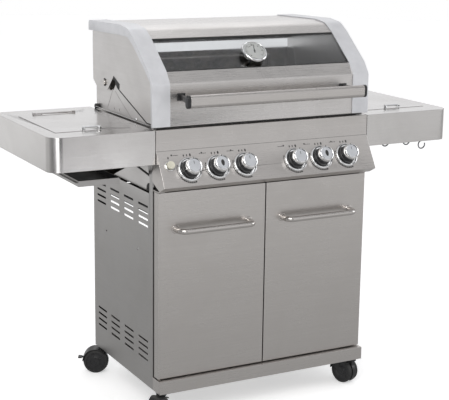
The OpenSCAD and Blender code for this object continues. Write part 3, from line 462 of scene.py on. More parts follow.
# Brushed steel: fine lines along one axis, and broader streaks from the same belt
rolled_lines, source, result = effect(
    "rolled_lines", [("NodeSocketVector", "Grain", (12.0, 1800.0, 1800.0))],
    [("NodeSocketFloat", "Lines"), ("NodeSocketFloat", "Streaks"), ("NodeSocketFloat", "Bands")])
spot = own_place(rolled_lines)
for label, share, detail in (("Lines", 1.0, 2.0), ("Streaks", 0.16, 3.0), ("Bands", 0.018, 2.0)):
    scaled = node(rolled_lines, "ShaderNodeVectorMath", operation="MULTIPLY")
    wire(rolled_lines, spot, scaled.inputs[0])
    wire(rolled_lines, source.outputs["Grain"], scaled.inputs[1])
    wire(rolled_lines, noise(rolled_lines, scaled.outputs["Vector"], share, detail), result.inputs[label])

# Use: soft smudges from hands and cloths, and a few hairline scratches
handling, source, result = effect("handling_marks", [("NodeSocketFloat", "Scale", 7.0)],
                                  [("NodeSocketFloat", "Smudge"), ("NodeSocketFloat", "Scratch")])
spot = own_place(handling)
cloudy = node(handling, "ShaderNodeTexNoise", Detail=5.0, Roughness=0.6, Distortion=0.6)
wire(handling, spot, cloudy.inputs["Vector"])
wire(handling, source.outputs["Scale"], cloudy.inputs["Scale"])
wire(handling, ranged(handling, cloudy.outputs["Fac"], 0.42, 0.68), result.inputs["Smudge"])
skewed = node(handling, "ShaderNodeMapping", Rotation=(0.5, 0.35, 0.8), Scale=(9.0, 420.0, 420.0))
wire(handling, spot, skewed.inputs["Vector"])
wire(handling, ranged(handling, noise(handling, skewed.outputs["Vector"], 1.0, 1), 0.74, 0.78),
     result.inputs["Scratch"])


def brushed_steel(name, colour, grain, roughness=0.3, depth=0.000012, contrast=0.02, smudge=0.08):
    """Stainless sheet with its brushing along the axis in which the grain is coarse."""
    material, tree, shader = surface(name, 1.0, roughness)
    lines = placed(tree, rolled_lines, Grain=grain)
    marks = placed(tree, handling)
    tone = ranged(tree, lines.outputs["Streaks"], 0.3, 0.7)
    shade = blended(tree, tone, tuple(c * (1 - contrast) for c in colour), tuple(c * (1 + contrast) for c in colour))
    band = ranged(tree, lines.outputs["Bands"], 0.3, 0.7, 0.0, 0.35)
    shade = blended(tree, band, shade, tuple(c * (1 - 2 * contrast) for c in colour))
    shade = blended(tree, sums(tree, "MULTIPLY", marks.outputs["Smudge"], smudge), shade,
                    (0.30, 0.28, 0.25))
    shade = blended(tree, sums(tree, "MULTIPLY", marks.outputs["Scratch"], 0.25), shade, (0.8, 0.8, 0.8))
    wire(tree, shade, shader.inputs["Base Color"])
    rough = ranged(tree, lines.outputs["Lines"], 0.25, 0.75, roughness - 0.07, roughness + 0.07)
    rough = sums(tree, "ADD", rough, sums(tree, "MULTIPLY", marks.outputs["Smudge"], 0.06))
    wire(tree, rough, shader.inputs["Roughness"])
    raised(tree, shader, sums(tree, "ADD", lines.outputs["Lines"],
                              sums(tree, "MULTIPLY", lines.outputs["Streaks"], 1.5)), depth)
    return material


steel_across = brushed_steel("steel_brushed_across", (0.60, 0.575, 0.555), (12.0, 1800.0, 1800.0))
steel_deep = brushed_steel("steel_brushed_front_to_back", (0.46, 0.45, 0.44), (1800.0, 12.0, 1800.0), 0.34)
steel_hidden = brushed_steel("mill_steel", (0.50, 0.495, 0.49), (1400.0, 20.0, 1400.0), 0.42, smudge=0.15)
# black powder coat, also used as painted shade inside the drip tray
powder_coat_and_shade_black = black_skin("black_powder_coat_and_shade", (0.020, 0.020, 0.021), 0.48, 1100, 0.00006, 0.35)

kept("side_panels", "cabinet_side_panels", "side_steel", [steel_deep], 0.0004)
kept("rear_frame", "cabinet_rear_frame", "dark_paint", [powder_coat_and_shade_black], 0.0004)
kept("back_panel", "cabinet_back_panel", "side_steel", [steel_hidden], 0.0004)
kept("cabinet_floor", "cabinet_floor_pan", "side_steel", [steel_hidden], 0.0004)
kept("header_rail", "cabinet_header_rail", "side_steel", [steel_across], 0.0003)
kept("base_bar", "cabinet_base_bar", "steel", [steel_across], 0.0008)

# ---------------------------------------------------------------- doors
# Two hollow doors of folded sheet on pivot pins, each with a bent tube handle held on by screws
# from inside. A black strip stands behind the doors' free edges as painted shade, so the seam reads dark.
tube_bright = brushed_steel("handle_tube", (0.58, 0.555, 0.535), (10.0, 2600.0, 2600.0), 0.2, 0.00001, 0.02, 0.03)
seam_shade_black = black_skin("seam_shade_black", (0.010, 0.010, 0.010), 0.6, 2200, 0.00003, 0.03)
low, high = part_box("door_left")
# painted shade: this black strip stands behind the doors' free edges so the seam between them reads dark
seam_strip = bmesh.new()
brick(seam_strip, (-0.011, high.y + 0.0002, low.z + 0.02), (0.005, high.y + 0.0030, high.z - 0.03), None, 0.0008)
finished(seam_strip, "door_seam_shade_strip", "door_left", "rubber", [seam_shade_black])
for side in ("left", "right"):
    kept(f"door_{side}", f"door_{side}_panel", "steel", [steel_across], 0.0012)
    pull = joined(f"door_handle_{side}")
    low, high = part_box(f"door_handle_{side}")
    for x in (low.x + 0.008, high.x - 0.008):
        added(pull, turned([(8, 2.2), (11.2, 1.8), (12.2, 0.6), (12.2, 0), (8, 0)],
                           axes((x, high.y, (low.z + high.z) / 2), (0, -1, 0)), 40))
    finished(pull, f"door_{side}_handle_tube", f"door_handle_{side}", "handle_steel", [tube_bright],
             [f"door_handle_{side}"])

# ---------------------------------------------------------------- firebox and burners
# The firebox is folded from stainless sheet that the flame has tinted. Cast-iron grates and steel
# flame tamers lie over four tube burners, and a framed burner is fixed to the rear wall.
heat_tint, source, result = effect("heat_tint", [("NodeSocketFloat", "Amount", 0.5)],
                                   [("NodeSocketColor", "Tint"), ("NodeSocketFloat", "Soot")])
spot = own_place(heat_tint)
warm = noise(heat_tint, spot, 9, 4, 0.6)
wire(heat_tint, ramp(heat_tint, warm, (0.3, (0.42, 0.40, 0.38)), (0.5, (0.40, 0.36, 0.31)),
                     (0.62, (0.35, 0.32, 0.31)), (0.75, (0.31, 0.31, 0.33))), result.inputs["Tint"])
soot = ranged(heat_tint, noise(heat_tint, spot, 26, 5, 0.7), 0.4, 0.7)
wire(heat_tint, sums(heat_tint, "MULTIPLY", soot, source.outputs["Amount"]), result.inputs["Soot"])


def fired_steel(name, amount, roughness):
    """Stainless that has been hot: straw and blue tints, and soot in patches."""
    material, tree, shader = surface(name, 1.0, roughness)
    tint = placed(tree, heat_tint, Amount=amount)
    lines = placed(tree, rolled_lines, Grain=(14.0, 1500.0, 1500.0))
    wire(tree, blended(tree, tint.outputs["Soot"], tint.outputs["Tint"], (0.05, 0.045, 0.04)),
         shader.inputs["Base Color"])
    wire(tree, sums(tree, "ADD", sums(tree, "MULTIPLY", tint.outputs["Soot"], 0.3), roughness),
         shader.inputs["Roughness"])
    raised(tree, shader, lines.outputs["Lines"], 0.00002)
    return material


fired = fired_steel("fired_steel", 0.5, 0.42)
burner_steel = fired_steel("burner_steel", 0.8, 0.5)

cast_iron, tree, shader = surface("seasoned_cast_iron", 0.55, 0.55)
skin = placed(tree, cast_skin, Pebble=520.0)
rub = placed(tree, rubbed_edges, Width=0.002, Amount=0.6)
wire(tree, blended(tree, rub.outputs["Rub"], ramp(tree, skin.outputs["Mottle"], (0.3, (0.028, 0.027, 0.027)),
                                                  (0.7, (0.075, 0.068, 0.062))), (0.22, 0.21, 0.20)),
     shader.inputs["Base Color"])
wire(tree, ranged(tree, skin.outputs["Mottle"], 0.3, 0.7, 0.42, 0.68), shader.inputs["Roughness"])
raised(tree, shader, skin.outputs["Height"], 0.00025)

chrome, tree, shader = surface("chrome_plate", 1.0, 0.07)
marks = placed(tree, handling, Scale=24.0)
wire(tree, blended(tree, sums(tree, "MULTIPLY", marks.outputs["Smudge"], 0.25), (0.86, 0.865, 0.87),
                   (0.66, 0.65, 0.64)), shader.inputs["Base Color"])
wire(tree, ranged(tree, marks.outputs["Smudge"], 0.0, 1.0, 0.05, 0.17), shader.inputs["Roughness"])

low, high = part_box("firebox")
hearth = Vector((0, (low.y + high.y) / 2, low.z + 0.16))


def outside(face):
    at = face.calc_center_median()
    return int(face.normal.dot(at - hearth) > 0 and (at.y < low.y + 0.001 or at.y > high.y - 0.001
                                                     or face.normal.z < -0.1))


kept("firebox", "firebox_shell", "side_steel", [fired, steel_hidden], 0.0003, pick=outside)
kept("rear_burner", "rear_burner_frame", "side_steel", [fired], 0.0008)
low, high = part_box("rear_burner")
bm = bmesh.new()
bmesh.ops.create_grid(bm, x_segments=60, y_segments=10, size=0.5)
bmesh.ops.transform(bm, verts=bm.verts, matrix=axes(
    ((low.x + high.x) / 2, high.y - 0.008, (low.z + high.z) / 2), (0, -1, 0))
    @ Matrix.Diagonal((high.x - low.x - 0.024, high.z - low.z - 0.024, 1, 1)))
bmesh.ops.inset_individual(bm, faces=bm.faces[:], thickness=0.0016)
bmesh.ops.delete(bm, geom=[f for f in bm.faces if f.calc_area() > 3e-5 and len(f.verts) == 4], context="FACES")
bmesh.ops.solidify(bm, geom=bm.faces[:], thickness=0.0006)
finished(bm, "rear_burner_mesh", "rear_burner", "side_steel", [burner_steel])
kept("main_burners", "main_burner_tubes", "cast_iron", [burner_steel], 0.0006)
kept("flame_tamers", "flame_tamer_plates", "side_steel", [burner_steel], 0.0003)
kept("cooking_grates", "cast_cooking_grates", "cast_iron", [cast_iron], 0.0013)
kept("warming_rack", "warming_rack_wires", "chrome", [chrome])

# ---------------------------------------------------------------- gas rail
# One brass valve under each knob on a plated rail, jets for the burners, and the igniter behind
# its button.
brass, tree, shader = surface("drawn_brass", 1.0, 0.3)
skin = placed(tree, cast_skin, Pebble=700.0)
wire(tree, ramp(tree, skin.outputs["Mottle"], (0.3, (0.46, 0.32, 0.12)), (0.7, (0.72, 0.55, 0.26))),
     shader.inputs["Base Color"])
wire(tree, ranged(tree, skin.outputs["Mottle"], 0.3, 0.7, 0.24, 0.42), shader.inputs["Roughness"])
raised(tree, shader, skin.outputs["Height"], 0.00003)
kept("gas_manifold", "gas_rail_and_valves", "brass", [brass], 0.0006)

# ---------------------------------------------------------------- control panel
# One folded sheet: an upright face, the sloping face with the six knobs, and a chin. The marks
# are printed: a scale of dashes round each knob, a burner-place mark and a flame mark above it.
kept("control_panel", "control_panel_sheet", "steel", [steel_across], 0.0011)

# black for print, and for painted shade in the panel joint and in each knob's rim
print_and_shade_black = two_tone("printed_and_shade_black", 0.0, 0.5, 2500.0, 0.012, 0.03)

knob_spots = {}
for i in range(1, 7):
    turn_joint = next(j for j in frame["joints"] if j["name"] == f"knob_{i}_turn")
    knob_spots[i] = axes(turn_joint["pos_m"], turn_joint["axis"])
# the button is square to the same slope, and a little higher up it than the knobs
low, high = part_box("ignition_button")
slope, button_lift = knob_spots[1].to_3x3(), 0.014
button_at = Vector(((low.x + high.x) / 2, *knob_spots[1].translation.yz)) + slope.col[1] * button_lift
button_spot = Matrix.Translation(button_at) @ slope.to_4x4()


def slab(outline, along):
    """A flat outline of points in space, drawn out along a vector."""
    bm = bmesh.new()
    face = bm.faces.new([bm.verts.new(point) for point in outline])
    grown = bmesh.ops.extrude_face_region(bm, geom=[face])["geom"]
    bmesh.ops.translate(bm, verts=[g for g in grown if isinstance(g, bmesh.types.BMVert)], vec=along)
    bmesh.ops.recalc_face_normals(bm, faces=bm.faces)
    return bm


def printed(bm, outline, turn, thick=0.00012):
    """A printed mark: a thin raised patch with this outline on the panel."""
    sunk = 0.00002
    added(bm, slab([turn @ Vector((x, y, -sunk)) for x, y in outline], turn.to_3x3().col[2] * (thick + sunk)))


def flame(size):
    """The outline of a plain flame, for a printed mark."""
    return [(size * math.sin(a) * (0.55 if a < math.pi else 0.5) * (1 - 0.35 * math.cos(a)),
             -size * math.cos(a) * (0.8 + 0.2 * (1 - math.cos(a)))) for a in
            (i * math.tau / 20 for i in range(20))]


bm = bmesh.new()
for i, turn in knob_spots.items():
    # dashes that grow from low to high, on the lower left
    for k in range(15):
        a, wide = math.radians(160 + k * 9), math.radians(3.5)
        inner = 0.0364
        outer = inner + 0.0028 + 0.0001 * k
        printed(bm, [(r * math.cos(t), r * math.sin(t)) for r, t in (
            (inner, a - wide), (outer, a - wide), (outer, a + wide), (inner, a + wide))], turn, 0.0003)
    # mark for off at the top, and a small flame at each side of it
    printed(bm, [(-0.0014, 0.0385), (0.0014, 0.0385), (0.0014, 0.0440), (-0.0014, 0.0440)], turn)
    printed(bm, [(x - 0.010, y + 0.0405) for x, y in flame(0.0033)], turn)
    printed(bm, [(x + 0.010, y + 0.0405) for x, y in flame(0.0044)], turn)
    # place of the burner: a row of small squares with one filled
    for k in range(4):
        x, y, half = -0.0455 + k * 0.0056, 0.0445, 0.0022
        top = half if k == (i - 1) % 4 else 0.0016 - half
        printed(bm, [(x - half, y - half), (x + half, y - half), (x + half, y + top), (x - half, y + top)], turn)
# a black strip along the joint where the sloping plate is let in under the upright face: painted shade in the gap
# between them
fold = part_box("control_panel")
brick(bm, (fold[0].x + 0.001, fold[0].y + 0.05485, 0.7774), (fold[1].x - 0.001, fold[0].y + 0.0560, 0.7783))
# lightning-shaped spark mark over the button
printed(bm, [(x * 0.0016, 0.022 + y * 0.0016) for x, y in (
    (-0.4, 3), (1.4, 3), (0.5, 1), (1.6, 1), (-1.2, -3), (-0.2, -0.4), (-1.4, -0.4))], button_spot)
bmesh.ops.recalc_face_normals(bm, faces=bm.faces)
finished(bm, "panel_printed_marks_and_joint_shade", "control_panel", "black_paint", [print_and_shade_black], sharp=10)

# ---------------------------------------------------------------- knobs and ignition button
# Each knob has a black moulded skirt and a plated cap with a satin face, on a dished chrome ring.
# The middle knob of each three carries the flame mark. The button is cream plastic in a ring.
satin_face = two_tone("satin_face", 1.0, 0.36, 3000.0, (0.74, 0.76, 0.79), (0.82, 0.84, 0.87), 0.00003)
cream = black_skin("cream_button", (0.62, 0.60, 0.50), 0.35, 1600, 0.00002, 0.1)

rings = bmesh.new()
for turn in knob_spots.values():
    added(rings, turned([(6.2, 0), (35.5, 0), (35.5, 1.6), (35, 3), (33.8, 4.2), (32.5, 4.8), (31, 4.8),
                         (30.2, 4.2), (29.2, 2.6), (28, 2.2), (6, 1.9)],
                        turn, 72))
added(rings, turned([(11.8, 0), (15, 0), (15, 2), (14.2, 3.4), (13, 4), (12, 3.8), (11.5, 3)], button_spot, 40))
finished(rings, "knob_rings", "knob_bezels", "chrome", [chrome], ["knob_bezels"])

for i, turn in knob_spots.items():
    knob = turned([(0, 3.1), (24.4, 3.1), (25, 3.7), (25, 8.2), (24.4, 9), (22.6, 10), (22.1, 23), (22.9, 23.6),
                   (23.2, 24.6), (23.2, 31.8), (22.6, 33.8), (21.2, 35.2), (19.6, 35.8), (18.6, 35.2),
                   (18.1, 34.1), (0, 34.3)], None, 96)
    added(knob, turned([(0, -23.6), (4, -23.6), (4, 4), (0, 4)], None, 24))
    # pointer let into the rim, at the top when the knob is off
    brick(knob, (-0.0009, 0.0178, 0.0300), (0.0009, 0.02335, 0.03595), None, 0.0003)
    if i in (2, 5):
        face = knob.faces.new([knob.verts.new((x * 1.2, y * 1.2 - 0.002, 0.03446)) for x, y in flame(0.0078)])
    else:
        face = knob.faces.new([knob.verts.new((x, y, 0.03446)) for x, y in (
            (-0.0006, 0.0040), (0.0006, 0.0040), (0.0006, 0.0125), (-0.0006, 0.0125))])
    face.normal_update()
    face.material_index = 3
    bmesh.ops.transform(knob, matrix=turn, verts=knob.verts)
    back = turn.inverted()

    def zone(face):
        if face.material_index == 3:
            return 3
        at = back @ face.calc_center_median()
        radius = math.hypot(at.x, at.y)
        if abs(at.x) < 0.001 and at.y > 0.0175 and at.z > 0.0299 and (at.z > 0.0345 or at.y > 0.0234):
            return 3
        if at.z < 0.0232:
            return 0
        # painted shade: the inner wall of the cap's rim, where it steps down to the satin face, is coloured black
        if 0.0180 < radius < 0.0187 and at.z > 0.0339:
            return 3
        return 2 if radius < 0.0182 and at.z > 0.034 else 1

    finished(knob, f"knob_{i}_capped", f"knob_{i}", "knob", [nylon, chrome, satin_face, print_and_shade_black], [f"knob_{i}"],
             pick=zone)

button = turned([(0, 4.5), (10.4, 4.5), (11, 5.2), (11, 11.2), (10.4, 12.1), (9.4, 12.5), (7.5, 11.8),
                 (0, 11.4)], None, 48)
added(button, turned([(0, -14), (8, -14), (8, 5), (0, 5)], None, 32))
bmesh.ops.transform(button, matrix=button_spot, verts=button.verts)
finished(button, "ignition_push_button", "ignition_button", "button", [cream], ["ignition_button"])

# ---------------------------------------------------------------- side shelves
# Folded steel shelves with deep skirts. The left one holds a side burner under a flush lid, with
# a drip tray hung below; the right one holds a condiment pan, and hooks for tools at its front.
steel_shelf = brushed_steel("steel_shelf", (0.635, 0.62, 0.61), (12.0, 1800.0, 1800.0), 0.17, 0.000006, 0.012)
# painted highlight: a bright metal strip on each shelf's inner top edge stands in for the glint on its rounded edge
highlight_strip_metal = two_tone("painted_edge_highlight", 1.0, 0.15, 1600.0, 0.84, 0.92)
edge_wide, from_ends = 0.0011, 0.045
for side in ("left", "right"):
    low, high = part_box(f"shelf_{side}")
    first = low.x if side == "right" else high.x - edge_wide
    edge = bmesh.new()
    brick(edge, (first, low.y + from_ends, high.z - 0.0002),
          (first + edge_wide, high.y - from_ends, high.z + 0.0010), None, 0.0004)
    finished(edge, f"shelf_{side}_painted_edge_highlight", f"shelf_{side}", "steel", [highlight_strip_metal])
for side in ("left", "right"):
    kept(f"shelf_{side}", f"shelf_{side}_sheet", "steel", [steel_shelf], 0.0009)
kept("shelf_brackets", "shelf_bracket_irons", "black_paint", [powder_coat_and_shade_black], 0.0006)
kept("side_burner", "side_burner_pan", "steel", [steel_hidden], 0.0005)
kept("side_burner_grate", "side_burner_trivet", "cast_iron", [cast_iron], 0.0009)
kept("condiment_pan", "condiment_pan_sheet", "steel", [steel_hidden], 0.0005)
low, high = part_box("drip_tray")
middle = (low + high) / 2


def shade_painted_inside(face):
    at = face.calc_center_median()
    return int(at.z < high.z - 0.002 and face.normal.dot(middle - at) > 0.001
               and abs(at.x - middle.x) < (high.x - low.x) / 2 - 0.004)


# painted shade: the drip tray's inner faces take the black coat, for the shade inside the tray
kept("drip_tray", "drip_tray_sheet", "steel", [steel_deep, powder_coat_and_shade_black], 0.0004, pick=shade_painted_inside)
kept("grease_tray", "grease_tray_sheet", "steel", [steel_hidden], 0.0004)
hook_plate = two_tone("dull_plated_wire", 1.0, 0.24, 900.0, (0.24, 0.24, 0.25), (0.36, 0.36, 0.37))
kept("tool_hooks", "tool_hook_wires", "chrome", [hook_plate])

for name in ("side_burner_lid", "condiment_lid"):
    low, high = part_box(name)

    def pull(face):
        at = face.calc_center_median()
        return int(at.z > low.z + 0.0087 and at.y < (low.y + high.y) / 2)

    kept(name, f"{name}_panel", "steel", [steel_shelf, chrome], 0.0006, pick=pull)

# ---------------------------------------------------------------- lid
# A folded steel hood between two cast end caps, with a tempered grey window let in between black
# seals. It turns on two bolts in the firebox sides, and rests back against black bumpers.
# painted light: this lid steel is a lighter copy of the door steel, so the hood's front and top read brighter
steel_lid = brushed_steel("steel_lid", (0.67, 0.65, 0.635), (12.0, 1800.0, 1800.0), 0.27)
steel_cheek = brushed_steel("steel_cheek", (0.64, 0.625, 0.615), (1700.0, 14.0, 1700.0), 0.33, 0.00001)
kept("firebox_sides", "firebox_cheeks", "steel", [steel_cheek], 0.0004)
kept("lid_front_panel", "lid_front_sheet", "steel", [steel_lid], 0.0004)
kept("lid_top_panel", "lid_top_sheet", "steel", [steel_lid], 0.0004)
peak, notch_foot = Vector((0, 0.0983, 0.9470)), Vector((0, 0.0583, 0.9120))
corner_back, corner_front = Vector((0, -0.1317, 0.8455)), Vector((0, -0.1847, 0.8455))
back_foot, near = Vector((0, 0.1453, 0.901)), 0.003
sheets = joined("lid_sides")
# three corners are drawn to where the notch, its peak and the rear edge are
for vert in sheets.verts:
    for y, z, to in ((0.0663, 0.951, notch_foot), (0.0783, 0.953, peak), (0.1343, 0.901, back_foot)):
        if abs(vert.co.y - y) < near and abs(vert.co.z - z) < near:
            vert.co.yz = to.yz
finished(sheets, "lid_side_sheets", "lid_sides", "steel", [steel_cheek], ["lid_sides"], ease=0.0004)
# black strips along the lower edge of each side sheet, and a thick black piece in the notch: painted shade in the
# gaps between the lid sides and the cheeks
# black rubber for the window seals, and black for painted shade in the lid's gaps
seal_and_shade_black = black_skin("seal_and_shade_black", (0.010, 0.010, 0.010), 0.55, 2200, 0.00003, 0.03)
edge_shade_mesh = bmesh.new()
side_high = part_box("lid_sides")[1]
for side in (-1, 1):
    for start, end in ((notch_foot, corner_back), (corner_back, corner_front)):
        run = end - start
        turn = axes(start + Vector((side * (side_high.x - 0.00075), 0, 0)), (1, 0, 0), run)
        brick(edge_shade_mesh, (-0.001, -0.0019, -0.0014), (run.length + 0.001, 0.0019, 0.0014), turn, 0.0006)
    added(edge_shade_mesh, slab([(side * (side_high.x - 0.0020), y, z) for y, z in (
        (0.0985, 0.9475), (0.0560, 0.9290), (0.0585, 0.9120), (0.0640, 0.9130), (0.0730, 0.9180), (0.0910, 0.9370),
        (0.0975, 0.9350))], (side * 0.0030, 0, 0)))
finished(edge_shade_mesh, "lid_side_gap_shade", "lid_sides", "rubber", [seal_and_shade_black])
# black strip under the lid's front edge: painted shade in the gap below it
low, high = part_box("lid_front_panel")
front_gap_shade_mesh = bmesh.new()
brick(front_gap_shade_mesh, (low.x + 0.004, low.y + 0.0012, low.z - 0.0040), (high.x - 0.004, low.y + 0.0110, low.z + 0.0002), None,
      0.0008)
finished(front_gap_shade_mesh, "lid_front_gap_shade", "lid_front_panel", "rubber", [seal_and_shade_black])
# pan-head screws in the cheeks, a black grommet where the igniter wires pass, and black rings round the hinge bolts
# as painted shadow
cheek_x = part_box("firebox_sides")[1].x
screw_at, grommet_at = (-0.0471, 0.843), (-0.1337, 0.6555)
screws, grommets = bmesh.new(), bmesh.new()
for side in (-1, 1):
    added(screws, turned([(0, -0.4), (4.2, -0.4), (4.1, 0.9), (3.4, 1.9), (2.2, 2.4), (1.0, 2.5), (0.8, 1.6),
                          (0, 1.5)], axes((side * cheek_x, *screw_at), (side, 0, 0), (0, 1, 0)), 24))
    arch = [(-0.0165, 0), (0.0165, 0)] + [(0.0165 * math.cos(a), 0.0075 + 0.0145 * math.sin(a))
                                          for a in (k * math.pi / 12 for k in range(13))]
    turn = axes((side * cheek_x, *grommet_at), (side, 0, 0), (0, side, 0))
    added(grommets, slab([turn @ Vector((x, y, -0.0002)) for x, y in arch], (side * 0.0012, 0, 0)))
# shallow pressed lines that stiffen the cheeks, in the darker side steel: painted shade that makes them read as dark
# lines
ribs = bmesh.new()
for side in (-1, 1):
    for start, end in (((0.118, 0.9075), (0.160, 0.8473)), ((0.0709, 0.8847), (-0.0381, 0.8288)),
                       ((0.1034, 0.9035), (0.0709, 0.8847))):
        run = Vector((0, end[0] - start[0], end[1] - start[1]))
        turn = axes((side * cheek_x, start[0], start[1]), (1, 0, 0), run)
        brick(ribs, (0, -0.0008, -0.0004), (run.length, 0.0008, 0.0004), turn, 0.0003)
finished(ribs, "cheek_pressed_lines", "firebox_sides", "steel", [steel_deep])
finished(screws, "cheek_screws", "firebox_sides", "chrome", [chrome])
finished(grommets, "cheek_grommets", "firebox_sides", "rubber", [tread_rubber], ease=0.0004)

alloy, tree, shader = surface("satin_cast_alloy", 0.35, 0.36, Coat_Weight=0.25, Coat_Roughness=0.2)
skin = placed(tree, cast_skin, Pebble=1300.0)
marks = placed(tree, handling, Scale=6.0)
rub = placed(tree, rubbed_edges, Width=0.002, Amount=0.3)
tone = ramp(tree, skin.outputs["Mottle"], (0.3, (0.67, 0.675, 0.70)), (0.7, (0.73, 0.735, 0.76)))
tone = blended(tree, sums(tree, "MULTIPLY", marks.outputs["Smudge"], 0.12), tone, (0.50, 0.50, 0.50))
wire(tree, blended(tree, rub.outputs["Rub"], tone, (0.78, 0.79, 0.80)), shader.inputs["Base Color"])
wire(tree, ranged(tree, marks.outputs["Smudge"], 0.0, 1.0, 0.33, 0.43), shader.inputs["Roughness"])
raised(tree, shader, skin.outputs["Height"], 0.00004)
caps = joined("lid_caps")
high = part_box("lid_caps")[1]
rims = [e for e in caps.edges if len(e.link_faces) == 2 and e.calc_face_angle(0) > math.radians(50)
        and all(abs(abs(v.co.x) - high.x) < 1e-5 for v in e.verts)
        and any(abs(f.normal.x) < 0.1 and abs(f.calc_center_median().x) < high.x - 0.01 for f in e.link_faces)]
bmesh.ops.bevel(caps, geom=rims, offset=0.0027, affect="EDGES", segments=4, profile=0.5, clamp_overlap=True)
finished(caps, "lid_end_caps", "lid_caps", "cast_alloy", [alloy], ["lid_caps"], ease=0.0008)

glass, tree, shader = surface("grey_tempered_glass", 0.0, 0.02, Transmission_Weight=1.0, IOR=1.46)
marks = placed(tree, handling, Scale=5.0)
wire(tree, blended(tree, sums(tree, "MULTIPLY", marks.outputs["Smudge"], 0.5), (0.78, 0.80, 0.82),
                   (0.68, 0.69, 0.70)), shader.inputs["Base Color"])
wire(tree, ranged(tree, marks.outputs["Smudge"], 0.0, 1.0, 0.01, 0.07), shader.inputs["Roughness"])
kept("lid_glass", "lid_window_pane", "glass", [glass], 0.0003)
kept("glass_gasket", "lid_window_seals", "rubber", [seal_and_shade_black], 0.0004)

kept("lid_handle", "lid_handle_tube", "handle_steel", [tube_bright], 0.0006)
# each end cap fills the tube and carries an arm that slants inwards to a foot on the lid
tube_low, tube_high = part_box("lid_handle")
ends_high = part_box("handle_brackets")[1]
grip_middle = (tube_low + tube_high) / 2
ends = bmesh.new()
tube_r, straight = 0.0100, 0.0078
oval = [(tube_r * math.cos(a), tube_r * math.sin(a) + (straight if math.sin(a) > 0 else -straight))
        for a in (k * math.tau / 48 for k in range(48))]
for side in (-1, 1):
    # a plug inside the tube, a little smaller than it, and a cap beyond its end
    for start, end, grow in ((tube_high.x - 0.006, tube_high.x + 0.0002, (0.86, 0.89)),
                             (tube_high.x, tube_high.x + 0.009, (1.0, 1.0))):
        cap = slab([(side * start, grip_middle.y + y * grow[0], grip_middle.z + z * grow[1]) for y, z in oval],
                   (side * (end - start), 0, 0))
        if grow[0] == 1.0:
            outer = [e for e in cap.edges if all(abs(abs(v.co.x) - end) < 1e-6 for v in e.verts)]
            bmesh.ops.bevel(cap, geom=outer, offset=0.0022, affect="EDGES", segments=3, profile=0.5)
        added(ends, cap)
    start = Vector((side * (tube_high.x + 0.0042), grip_middle.y, grip_middle.z + 0.0020))
    end = Vector((side * (tube_high.x - 0.0150), ends_high.y - 0.0010, grip_middle.z + 0.0020))
    run = end - start
    turn = Matrix.Translation(start) @ run.to_track_quat("Y", "Z").to_matrix().to_4x4()
    brick(ends, (-0.0042, 0, -0.0070), (0.0042, run.length, 0.0070), turn, 0.0012)
    brick(ends, (end.x - 0.0120, ends_high.y - 0.0032, end.z - 0.0105), (end.x + 0.0120, ends_high.y, end.z + 0.0105),
          None, 0.0010)
finished(ends, "lid_handle_ends", "handle_brackets", "black_plastic", [nylon], ["handle_brackets"])
kept("hinge_bolts", "lid_hinge_bolts", "chrome", [tube_bright], 0.001)
hinge = next(j for j in frame["joints"] if j["name"] == "lid_hinge")["pos_m"]
# painted shadow: a thin black ring round each hinge bolt
bolt_shadow_rings = bmesh.new()
for side in (-1, 1):
    added(bolt_shadow_rings, turned([(5.6, 0), (11.8, 0), (11.8, 0.3), (5.6, 0.3)],
                          axes((side * (side_high.x + 0.00005), hinge[1], hinge[2]), (side, 0, 0), (0, 1, 0)), 40))
finished(bolt_shadow_rings, "lid_hinge_bolt_shadows", "lid_sides", "rubber", [seal_and_shade_black])
kept("lid_bumpers", "lid_rest_bumpers", "rubber", [tread_rubber], 0.002)

# ---------------------------------------------------------------- thermometer
# A three-inch bimetal dial gauge in a chromed case, screwed through the window. White enamel
# dial with plain graduations, a black needle and a clear cover; its stem reaches into the hood.
enamel = two_tone("white_enamel", 0.0, 0.3, 1800.0, (0.76, 0.76, 0.74), (0.82, 0.82, 0.80), Coat_Weight=0.4)
clear_cover, tree, shader = surface("clear_cover", 0.0, 0.01, Transmission_Weight=1.0, IOR=1.45)
marks = placed(tree, handling, Scale=30.0)
wire(tree, ranged(tree, marks.outputs["Smudge"], 0.0, 1.0, 0.005, 0.04), shader.inputs["Roughness"])
shader.inputs["Base Color"].default_value = (0.96, 0.97, 0.97, 1)

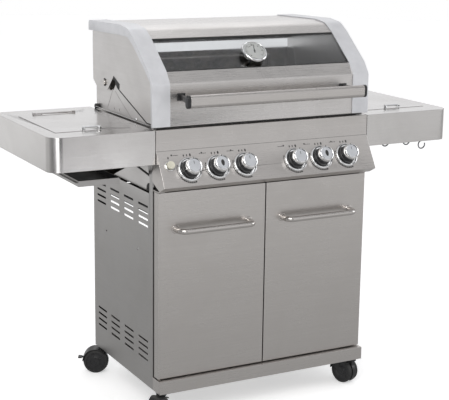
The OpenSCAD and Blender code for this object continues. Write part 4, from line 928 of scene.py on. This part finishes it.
seal_low, seal_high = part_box("glass_gasket")
pane_run = Vector((0, 0.098, 0.080)).normalized()
pane_out = Vector((0, -pane_run.z, pane_run.y))
gauge = axes(Vector((-0.008, seal_low.y - 0.0004, seal_high.z - 0.0797)) + pane_run * 0.046, pane_out)
case = turned([(0, 6), (30.5, 6), (33.5, 6.9), (36.4, 9.3), (37.6, 12), (38, 14.5), (38, 17.2), (37.4, 19),
               (36.1, 20.4), (34.6, 21), (33.4, 20.8), (32.6, 20), (32.2, 18.3), (0, 18.3)], gauge, 96)
added(case, turned([(0, -1.5), (16, -1.5), (16, 3), (14.2, 6.2), (0, 6.2)], gauge, 64))
added(case, turned([(0, -60), (2.8, -60), (3.5, -59), (3.5, -14), (8, -14), (8, -1.4), (0, -1.4)], gauge, 32))
back_to_gauge = gauge.inverted()


def dial(face):
    at = back_to_gauge @ face.calc_center_median()
    return int(at.z > 0.0180 and math.hypot(at.x, at.y) < 0.0320)


finished(case, "thermometer_case", "thermometer", "chrome", [chrome, enamel], ["thermometer"], pick=dial)
marks_bm = bmesh.new()
dial_face = gauge @ Matrix.Translation((0, 0, 0.0183))
for k in range(31):
    a = math.radians(225 - 9 * k)
    inner, half = (0.0215, 0.00085) if k % 5 == 0 else (0.0245, 0.0004)
    across, out = Vector((-math.sin(a), math.cos(a))), Vector((math.cos(a), math.sin(a)))
    printed(marks_bm, [tuple(out * inner - across * half), tuple(out * 0.0282 - across * half),
                       tuple(out * 0.0282 + across * half), tuple(out * inner + across * half)], dial_face)
# the grilling band, a plain grey arc
arc = [math.radians(135 - 9 * k) for k in range(9)]
printed(marks_bm, [(0.0206 * math.cos(a), 0.0206 * math.sin(a)) for a in arc]
        + [(0.0190 * math.cos(a), 0.0190 * math.sin(a)) for a in reversed(arc)], dial_face)
printed(marks_bm, [(-0.0016, -0.0075), (0.0016, -0.0075), (0.0009, 0.0240), (-0.0009, 0.0240)],
        dial_face @ Matrix.Rotation(math.radians(-12), 4, "Z"), 0.0006)
added(marks_bm, turned([(0, 0), (2.8, 0), (2.8, 0.8), (2, 1.1), (0, 1.2)], dial_face, 32))
bmesh.ops.recalc_face_normals(marks_bm, faces=marks_bm.faces)
finished(marks_bm, "thermometer_dial_marks", "thermometer", "black_plastic", [print_and_shade_black], sharp=10)
finished(turned([(0, 19.9), (32.4, 19.9), (32.4, 20.4), (20, 20.7), (0, 20.8)], gauge, 64),
         "thermometer_cover", "thermometer", "glass", [clear_cover])
